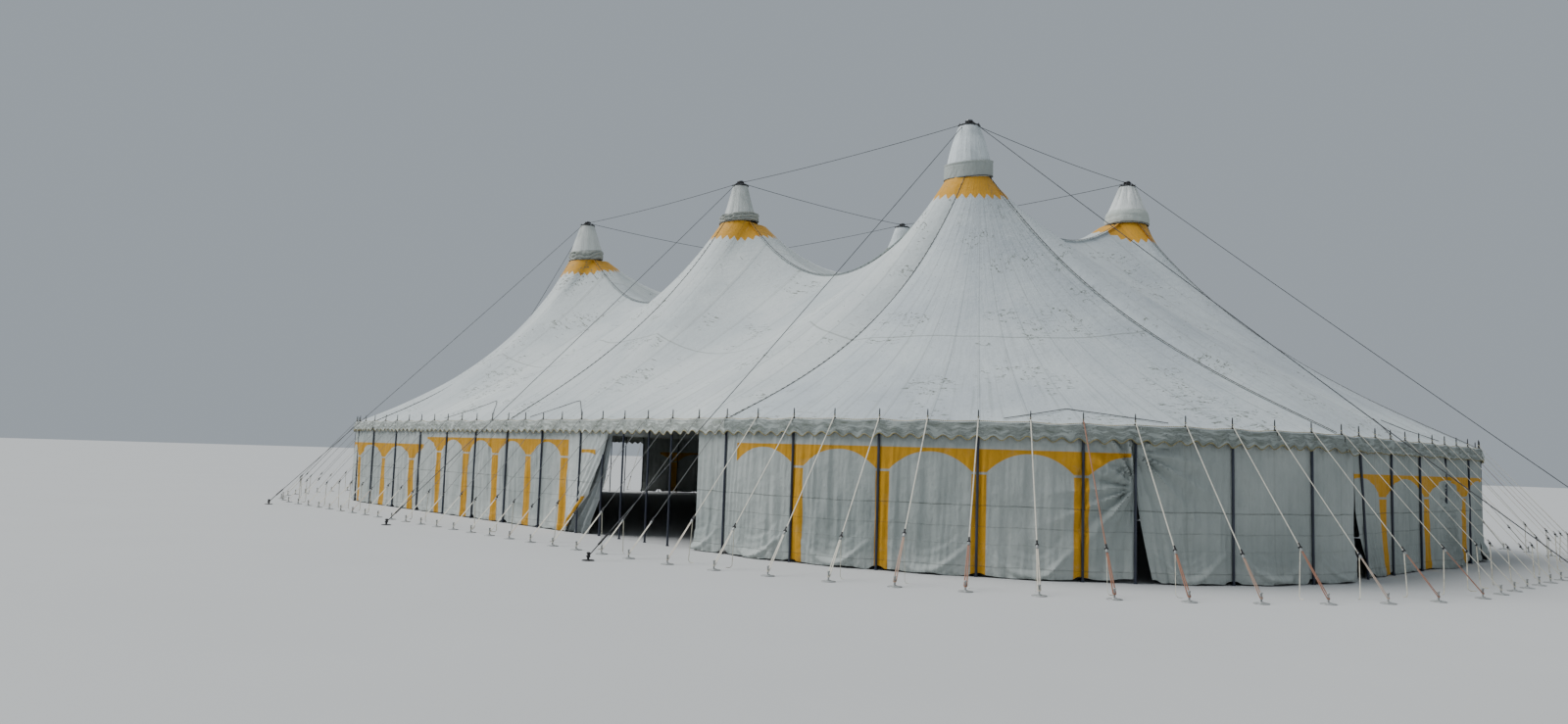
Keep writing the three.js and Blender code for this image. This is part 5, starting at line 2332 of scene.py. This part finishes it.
@dataclass
class GuySet:
    """Spikes, eave rope, guy ropes, ratchets, straps and stakes of one quarter."""

    name: str
    first: int
    last: int
    line: float = 0.012
    reach: float = 1.625
    start: float = 0.052
    foot: float = 0.060
    rope_radius: float = 0.0055
    rope_lead: float = 0.08
    spike_radius: float = 0.0084
    spike_path: tuple[float, ...] = (-0.01, 0.11, 0.138, 0.150)
    tie_radius: float = 0.019
    tie_path: tuple[float, ...] = (0.002, 0.006, 0.016, 0.020)
    ratchet: float = 0.76
    thin_guy_width: float = 0.011
    guy_width: float = 0.015
    guy_thick: float = 0.005
    ring_radius: float = 0.016
    ring_bar: float = 0.0045
    strap_width: float = 0.016
    strap_thick: float = 0.0035
    wrap_radius: float = 0.014
    ratchet_size: Triple = (0.030, 0.018, 0.075)
    handle_size: Triple = (0.020, 0.006, 0.055)
    drum_radius: float = 0.013
    drum_half: float = 0.020
    tail_share: float = 0.8
    tail_size: Pair = (0.013, 0.003)
    stake_profile: tuple[Pair, ...] = (
        (0.003, 0.124), (0.012, 0.123), (0.016, 0.118), (0.016, 0.108), (0.011, 0.104), (0.010, 0.0),
    )
    plate_profile: tuple[Pair, ...] = (
        (0.010, 0.022), (0.026, 0.020), (0.030, 0.012), (0.070, 0.010), (0.084, 0.007), (0.087, 0.002),
        (0.085, 0.0),
    )

    def build(self) -> list[Piece]:
        """Makes all pieces of the set.

        Returns:
            Ropes, straps, stakes, spikes and tails.
        """
        kit = GuyKit()
        bays = self.last - self.first
        numbers = np.linspace(self.first - self.rope_lead, self.last - self.rope_lead, 6 * bays + 1)
        eave = PLAN.beside(numbers, self.line + 0.004, PLAN.eave_z + 0.007 - HEM.dip(numbers))
        kit.ropes.sweep(eave, circle(6, self.rope_radius))
        for n in range(self.first, self.last):
            self.add_spike(n, kit)
            self.add_guy(n, kit)
            self.add_stake(n, kit)
        name = f"guys_{self.name}"
        return [
            install(kit.ropes.build(f"{name}_ropes", TwistedRope()), "guy_rope", f"guy_ropes_{self.name}"),
            install(kit.straps.build(f"{name}_straps", Webbing()), "guy_rope"),
            install(kit.steel.build(f"{name}_stakes", STAKE_PLATE), "rigging"),
            install(kit.dark.build(f"{name}_spikes", SPIKE_STEEL), "rigging"),
            install(kit.tails.build(f"{name}_tails", TAIL_TRIM), "guy_rope"),
        ]

    def add_spike(self, n: int, kit: GuyKit) -> None:
        """Adds the spike over a pole and the tie round it.

        Args:
            n: number of the pole.
            kit: meshes of the set.
        """
        base = PLAN.beside(n, self.line, PLAN.eave_z)
        path = base + upright(self.spike_path)
        kit.dark.sweep(path, circle(6, self.spike_radius), np.array([1, 1, 0.8, 0.25]))
        tie = base + upright(self.tie_path)
        kit.dark.sweep(tie, circle(8, self.tie_radius), np.array([0.6, 1, 1, 0.6]))
        out = np.array([*PLAN.outward(n), 0.0])
        drip = base + out * 0.038 + upright((0.006, -0.02, -0.06))
        drip[0] -= out * 0.03
        drip[2] += out * 0.010
        kit.dark.sweep(drip, strap(0.010, 0.004), 1.0, tuple(out))

    def add_guy(self, n: int, kit: GuyKit) -> None:
        """Adds the guy of one pole: rope, ratchet, strap and tail.

        Args:
            n: number of the pole.
            kit: meshes of the set.
        """
        out = np.array([*PLAN.outward(n), 0.0])
        aside = np.array([-out[1], out[0], 0.0])
        base = PLAN.beside(n, 0.0, 0.0)
        high = base + out * self.line + [0, 0, PLAN.eave_z + self.start]
        low = base + out * self.reach + [0, 0, self.foot]
        rng = np.random.default_rng(400 + n)
        share = self.ratchet + rng.uniform(-0.03, 0.03)
        joint = high + (low - high) * share
        along = (low - high) / np.linalg.norm(low - high)
        tint = float(np.clip(rng.normal(0.68 if n in ORANGE_GUYS else 0.2, 0.13), 0, 1))
        tint = STRAP_TINTS.get(n, tint)
        weathered = n in WEATHERED_GUYS
        rope_tint = 2.0 if weathered else 0.85 if n in ORANGE_ROPES else 0.0
        face = np.cross(along, aside)
        up = tuple(face)
        section = strap(self.thin_guy_width if weathered else self.guy_width, self.guy_thick)
        kit.straps.sweep(np.linspace(high + along * 0.018, joint, 4), section, 1.0, up, rope_tint)
        turn = np.linspace(0, 2 * math.pi, 9)[:, None]
        ring = high + [0, 0, 0.004] + self.ring_radius * (np.cos(turn) * out + np.sin(turn) * aside)
        kit.ropes.sweep(ring, circle(4, self.ring_bar))
        kit.steel.block(joint + along * 0.012, self.ratchet_size, along, 0.2, up)
        drum = np.array([joint + aside * self.drum_half, joint - aside * self.drum_half])
        kit.dark.sweep(drum, circle(8, self.drum_radius))
        handle = joint - along * 0.030 + face * 0.012
        kit.dark.block(handle, self.handle_size, along, 0.2, up)
        for side in (-1, 1):
            start = joint + along * 0.045 + aside * side * 0.006
            stop = low + aside * side * self.wrap_radius
            section = strap(self.strap_width, self.strap_thick)
            kit.straps.sweep(np.linspace(start, stop, 3), section, 1.0, up, tint)
        turn = np.linspace(-math.pi / 2, math.pi / 2, 7)[:, None]
        wrap = low + self.wrap_radius * (np.cos(turn) * out + np.sin(turn) * aside)
        kit.straps.sweep(wrap, strap(self.strap_thick, self.strap_width), tint=tint)
        if rng.uniform() < self.tail_share:
            drop = joint[2]
            swing = out * rng.uniform(-0.02, 0.03) + aside * rng.uniform(-0.03, 0.03)
            knee = joint + swing - [0, 0, drop - 0.012]
            rest = out * rng.uniform(-0.04, 0.10) + aside * rng.uniform(-0.09, 0.09)
            path = np.array([
                joint - [0, 0, 0.01],
                joint + swing * 0.3 - [0, 0, drop * 0.35],
                joint + swing * 0.7 - [0, 0, drop * 0.7],
                knee + [0, 0, 0.02],
                knee + rest * 0.3 - [0, 0, 0.008],
                knee + rest - [0, 0, 0.009],
            ])
            kit.tails.sweep(path, strap(*self.tail_size), 1.0, tuple(aside + [0.01, 0.02, 0]))

    def add_stake(self, n: int, kit: GuyKit) -> None:
        """Adds the stake of one guy with the plate round its foot.

        Args:
            n: number of the pole.
            kit: meshes of the set.
        """
        x, y, _ = PLAN.beside(n, self.reach, 0.0)
        kit.steel.lathe((x, y), list(self.stake_profile), 10)
        kit.steel.lathe((x, y), list(self.plate_profile), 20)


@dataclass
class RoofTies:
    """Thin dark ropes that lie on the roof near the eave."""

    radius: float = 0.0055
    lift: float = 0.010
    steps: int = 14
    runs: tuple[tuple[Pair, ...], ...] = (
        ((5.38, 0.985), (6.75, 0.865), (8.88, 0.997)),
        ((11.0, 0.985), (12.62, 0.90), (13.88, 0.997)),
        ((26.5, 0.985), (27.88, 0.92), (29.75, 0.985)),
        ((39.5, 0.905), (40.05, 0.945), (41.2, 0.985)),
        ((39.0, 0.905), (37.55, 0.99)),
        ((60.0, 0.99), (62.4, 0.90), (64.6, 0.99)),
        ((83.0, 0.985), (85.5, 0.90), (88.0, 0.99)),
    )

    def build(self) -> Piece:
        """Makes the ropes.

        Returns:
            All of them as one piece.
        """
        shape = Shape()
        for run in self.runs:
            for (n0, v0), (n1, v1) in zip(run[:-1], run[1:]):
                k = np.linspace(0, 1, self.steps)
                points = np.array([ROOF.point(mix(n0, n1, q), mix(v0, v1, q)) for q in k])
                points[:, 2] += self.lift
                shape.sweep(points, circle(6, self.radius))
        return install(shape.build("roof_tie_ropes", LACING), "rigging")


@dataclass
class MastRigging:
    """Head ropes between the masts and stays to the ground, on a collar at each head."""

    height: float = 7.7296
    reach: float = 0.080
    wire: float = 0.0065
    sag: float = 0.05
    stay_sag: float = 0.03
    stay_y: float = 10.65
    stay_x: float = 16.0
    anchor_z: float = 0.055
    shackle_size: Triple = (0.018, 0.014, 0.036)
    tightener_size: Triple = (0.030, 0.022, 0.20)
    tightener_rod: float = 0.007
    steps: int = 16
    collar_profile: tuple[Pair, ...] = (
        (0.061, 0.014), (0.074, 0.014), (0.078, 0.010), (0.078, -0.010), (0.074, -0.014), (0.061, -0.014),
    )
    anchor_profile: tuple[Pair, ...] = (
        (0.004, 0.110), (0.020, 0.108), (0.025, 0.100), (0.025, 0.088), (0.016, 0.084), (0.016, 0.014),
        (0.075, 0.010), (0.085, 0.004), (0.085, 0.0),
    )
    knob_profile: tuple[Pair, ...] = (
        (0.016, 0.070), (0.026, 0.066), (0.030, 0.055), (0.026, 0.044), (0.016, 0.040),
    )

    def build(self) -> list[Piece]:
        """Makes the wires and their fittings.

        Returns:
            The wires and the fittings.
        """
        wires, fittings = Shape(), Shape()
        masts = PLAN.masts()
        for centre in masts.values():
            fittings.lathe(centre, [(r, self.height + z) for r, z in self.collar_profile], 20)
        for row in ("front", "back"):
            self.head_rope(masts[f"{row}_left"], masts[f"{row}_centre"], wires, fittings)
            self.head_rope(masts[f"{row}_centre"], masts[f"{row}_right"], wires, fittings)
        for column in ("left", "centre", "right"):
            self.head_rope(masts[f"front_{column}"], masts[f"back_{column}"], wires, fittings)
        for x, y in masts.values():
            self.stay((x, y), (x, math.copysign(self.stay_y, y)), wires, fittings)
            if x:
                self.stay((x, y), (math.copysign(self.stay_x, x), y), wires, fittings)
        return [
            install(wires.build("rigging_wires", WIRE_ROPE), "rigging", "mast_rigging"),
            install(fittings.build("rigging_fittings", SPIKE_STEEL), "rigging"),
        ]

    def shackle(self, spot: Array, along: Array, fittings: Shape) -> None:
        """Adds a shackle and thimble at a wire's end.

        Args:
            spot: the end.
            along: direction of the wire from there.
            fittings: mesh that they go into.
        """
        fittings.block(spot + along * 0.014, self.shackle_size, along, 0.3)
        thimble = np.array([spot + along * 0.03, spot + along * 0.05, spot + along * 0.10])
        fittings.sweep(thimble, circle(8, 0.009), np.array([0.8, 1, 0.7]))

    def hang(self, start: Array, stop: Array, sag: float, wires: Shape) -> None:
        """Adds a wire that sags a little between two points.

        Args:
            start: its first end.
            stop: its other end.
            sag: how far its middle hangs below the straight line.
            wires: mesh that it goes into.
        """
        k = np.linspace(0, 1, self.steps)[:, None]
        path = start + (stop - start) * k - np.array([0, 0, sag]) * (1 - (2 * k - 1) ** 2)
        wires.sweep(path, circle(6, self.wire))

    def head_rope(
        self, a: Pair, b: Pair, wires: Shape, fittings: Shape
    ) -> None:
        """Adds a rope between two mast heads.

        Args:
            a: plan point of the first mast.
            b: plan point of the other.
            wires: mesh of the wires.
            fittings: mesh of the fittings.
        """
        start, stop = np.array([*a, self.height]), np.array([*b, self.height])
        along = (stop - start) / np.linalg.norm(stop - start)
        start, stop = start + along * self.reach, stop - along * self.reach
        self.hang(start, stop, self.sag, wires)
        self.shackle(start, along, fittings)
        self.shackle(stop, -along, fittings)

    def stay(
        self, mast: Pair, foot: Pair, wires: Shape, fittings: Shape
    ) -> None:
        """Adds a stay with its tightener and its anchor.

        Args:
            mast: plan point of the mast.
            foot: plan point of the anchor.
            wires: mesh of the wires.
            fittings: mesh of the fittings.
        """
        start = np.array([*mast, self.height])
        stop = np.array([*foot, self.anchor_z])
        flat = (stop - start) * [1, 1, 0]
        start = start + flat / np.linalg.norm(flat) * self.reach
        along = (stop - start) / np.linalg.norm(stop - start)
        self.hang(start, stop - along * 0.42, self.stay_sag, wires)
        self.shackle(start, along, fittings)
        fittings.block(stop - along * 0.30, self.tightener_size, along, 0.3)
        rod = np.linspace(stop - along * 0.44, stop - along * 0.02, 5)
        fittings.sweep(rod, circle(8, self.tightener_rod))
        fittings.lathe(foot, list(self.anchor_profile), 16)
        fittings.lathe(foot, list(self.knob_profile), 14)


# Studio


@dataclass(frozen=True)
class SoftLight:
    """A far soft lamp: its strength, and its spread and turns in degrees."""

    name: str
    energy: float
    spread: float
    tilt: float
    turn: float


@dataclass
class Studio:
    """Plain pale floor, soft light and the camera of the photograph."""

    place: Triple = (18.4029, -18.102, 1.4252)
    yaw: float = -0.8309
    pitch: float = 0.0900
    roll: float = 0.0323
    focal_px: float = 1067.604
    image_width: int = 1600
    sensor: float = 36.0
    far: float = 1500.0
    floor_half: float = 260.0
    floor_z: float = -0.001
    lamps: tuple[SoftLight, ...] = (SoftLight("key", 3.32, 50, 40, -50), SoftLight("fill", 0.10, 90, 55, 75))
    sky: Colour = (0.75, 0.84, 0.93, 1)
    sky_strength: float = 0.46

    def camera(self) -> bpy.types.Object:
        """Makes the camera and sets it as the scene's.

        Returns:
            The camera.
        """
        flat = math.cos(self.pitch)
        ahead = Vector((math.sin(self.yaw) * flat, math.cos(self.yaw) * flat, math.sin(self.pitch)))
        right = ahead.cross(Vector((0, 0, 1))).normalized()
        up = right.cross(ahead)
        side = right * math.cos(self.roll) + up * math.sin(self.roll)
        lift = up * math.cos(self.roll) - right * math.sin(self.roll)
        data = bpy.data.cameras.new("photo_camera")
        data.sensor_fit = "HORIZONTAL"
        data.sensor_width = self.sensor
        data.lens = self.focal_px * self.sensor / self.image_width
        data.clip_end = self.far
        camera = bpy.data.objects.new("photo_camera", data)
        bpy.context.scene.collection.objects.link(camera)
        turn = Matrix((side, lift, -ahead)).transposed().to_4x4()
        camera.matrix_world = Matrix.Translation(self.place) @ turn
        bpy.context.scene.camera = camera
        return camera

    def lights(self) -> None:
        """Makes a wide soft key light, a fill light and an even sky."""
        for lamp in self.lamps:
            data = bpy.data.lights.new(lamp.name, "SUN")
            data.energy = lamp.energy
            data.angle = math.radians(lamp.spread)
            light = bpy.data.objects.new(lamp.name, data)
            light.rotation_euler = (math.radians(lamp.tilt), 0, math.radians(lamp.turn))
            bpy.context.scene.collection.objects.link(light)
        world = bpy.data.worlds.new("studio")
        world.use_nodes = True
        background = world.node_tree.nodes["Background"]
        background.inputs["Color"].default_value = self.sky
        background.inputs["Strength"].default_value = self.sky_strength
        bpy.context.scene.world = world

    def floor(self) -> bpy.types.Object:
        """Makes the floor.

        Returns:
            The floor.
        """
        shape = Shape()
        half = self.floor_half
        x, y = np.meshgrid(np.linspace(-half, half, 9), np.linspace(half, -half, 9))
        shape.grid(np.stack([x, y, np.full_like(x, self.floor_z)], axis=-1), np.stack([x, y], axis=-1))
        floor = shape.build("studio_floor", FloorPaint())
        return floor


def main() -> None:
    """Builds the dressed tent and logs its pieces."""
    logging.basicConfig(level=logging.INFO, format="%(message)s")
    studio = Studio()
    studio.camera()
    studio.lights()
    studio.floor()

    pole_sets = (
        ("front_left", 0, 16), ("entrance", 16, 20), ("corner_front_right", 20, 34), ("right_end", 34, 44),
        ("corner_back_right", 44, 58), ("back", 58, 78), ("corner_back_left", 78, 91),
        ("left_entrance", 91, 95), ("left_end", 95, 102), ("corner_front_left", 102, 116),
    )
    for name, first, last in pole_sets:
        SidePoles(name, first, last).build()

    roofs = (
        ("roof_front_left", 0, 10), ("roof_front_right", 10, 20), ("roof_corner_front_right", 20, 34),
        ("roof_right_end", 34, 44), ("roof_corner_back_right", 44, 58), ("roof_back_right", 58, 68),
        ("roof_back_left", 68, 78), ("roof_corner_back_left", 78, 92), ("roof_left_end", 92, 102),
        ("roof_corner_front_left", 102, 116),
    )
    for name, first, last in roofs:
        RoofPanel(name, first, last).build()
    MiddlePanel("roof_middle_left", -PLAN.mast_x, 0.0).build()
    MiddlePanel("roof_middle_right", 0.0, PLAN.mast_x).build()

    valances = (
        ("valance_front", 0, 20, 0.0), ("valance_corner_front_right", 20, 34, 0.0),
        ("valance_right_end", 34, 44, 0.7), ("valance_corner_back_right", 44, 58, 0.0),
        ("valance_back", 58, 78, 0.0), ("valance_corner_back_left", 78, 92, 0.0),
        ("valance_left_end", 92, 102, 0.7), ("valance_corner_front_left", 102, 116, 0.0),
    )
    for name, first, last, pointed in valances:
        # The right front corner and the right end take the darker valance, partly painted shade
        overlap = 0.6 if name == "valance_corner_front_right" else 0.0
        Valance(name, first, last, pointed=pointed, overlap=overlap, worn=20 <= first < 44).build()
    Lacing().build()
    RoofTies().build()

    for seed, (name, centre) in enumerate(PLAN.masts().items()):
        KingMast(name, centre).build()
        MastCap(name, centre, seed + 1).build()
    MastRigging().build()

    # Curtains with painted light take whiter tones on the walls that face the light
    low_left = low_arcade(-2.6, 4.35, 1.0, 2.46)
    high_left = Arcade(4.55, 13.9, 5.50, pitch=1.92, half=0.19)
    CurtainWall("front_left", 0, 13.4, (low_left, high_left), whiteness=0.6, skirt=0.2).build()
    CurtainWall(
        "corner_front_left", 102, 116, (low_arcade(102.0, 120.0, 117.0, 2.46),), whiteness=0.5, skirt=0.2
    ).build()
    CurtainWall(
        "corner_front_right", 19, 34.7, (Arcade(20.4, 28.89, 27.97, 1.94, 0.145),),
        gaps=(Gap(29.0, 0.36, 1.25, 1.3),),
        ties=(Tie(29.0, 1.19, -1, 0.062, 0.86), Tie(29.0, 1.62, 1, 0.056, 0.92),
              Tie(29.0, 1.52, -1, 0.028, 0.5)),
        also_on=("entrance",), whiteness=0.22, cells=32, rows=68,
    ).build()
    CurtainWall(
        "right_end", 34.75, 44, (low_arcade(34.75, 44.5, 36.55, 2.95, 0.20),),
        gaps=(Gap(34.75, 0.9, 0.95, 1.3),),
        ties=(Tie(41.0, 1.05, -1, 0.040, flare=0.16), Tie(41.0, 1.05, 1, 0.040), Tie(37.0, 1.5, 1, 0.014)),
        skirt=0.25,
    ).build()
    CurtainWall("corner_back_right", 44, 58, (low_arcade(44.0, 49.0, 46.1, 3.2, 0.20),)).build()
    CurtainWall("back", 58, 78, (Arcade(60.0, 76.0, 62.0),), whiteness=0.3).build()
    CurtainWall("corner_back_left", 78, 91, (low_arcade(79.0, 90.0, 80.0),), whiteness=0.3).build()
    CurtainWall("left_end", 94, 102, (low_arcade(94.5, 102.0, 96.0),), whiteness=0.3).build()
    TiedCurtain().build()

    for name, first, last in (("front", -7, 27), ("right", 27, 51), ("back", 51, 85), ("left", 85, 109)):
        GuySet(name, first, last).build()


if __name__ == "__main__":
    main()
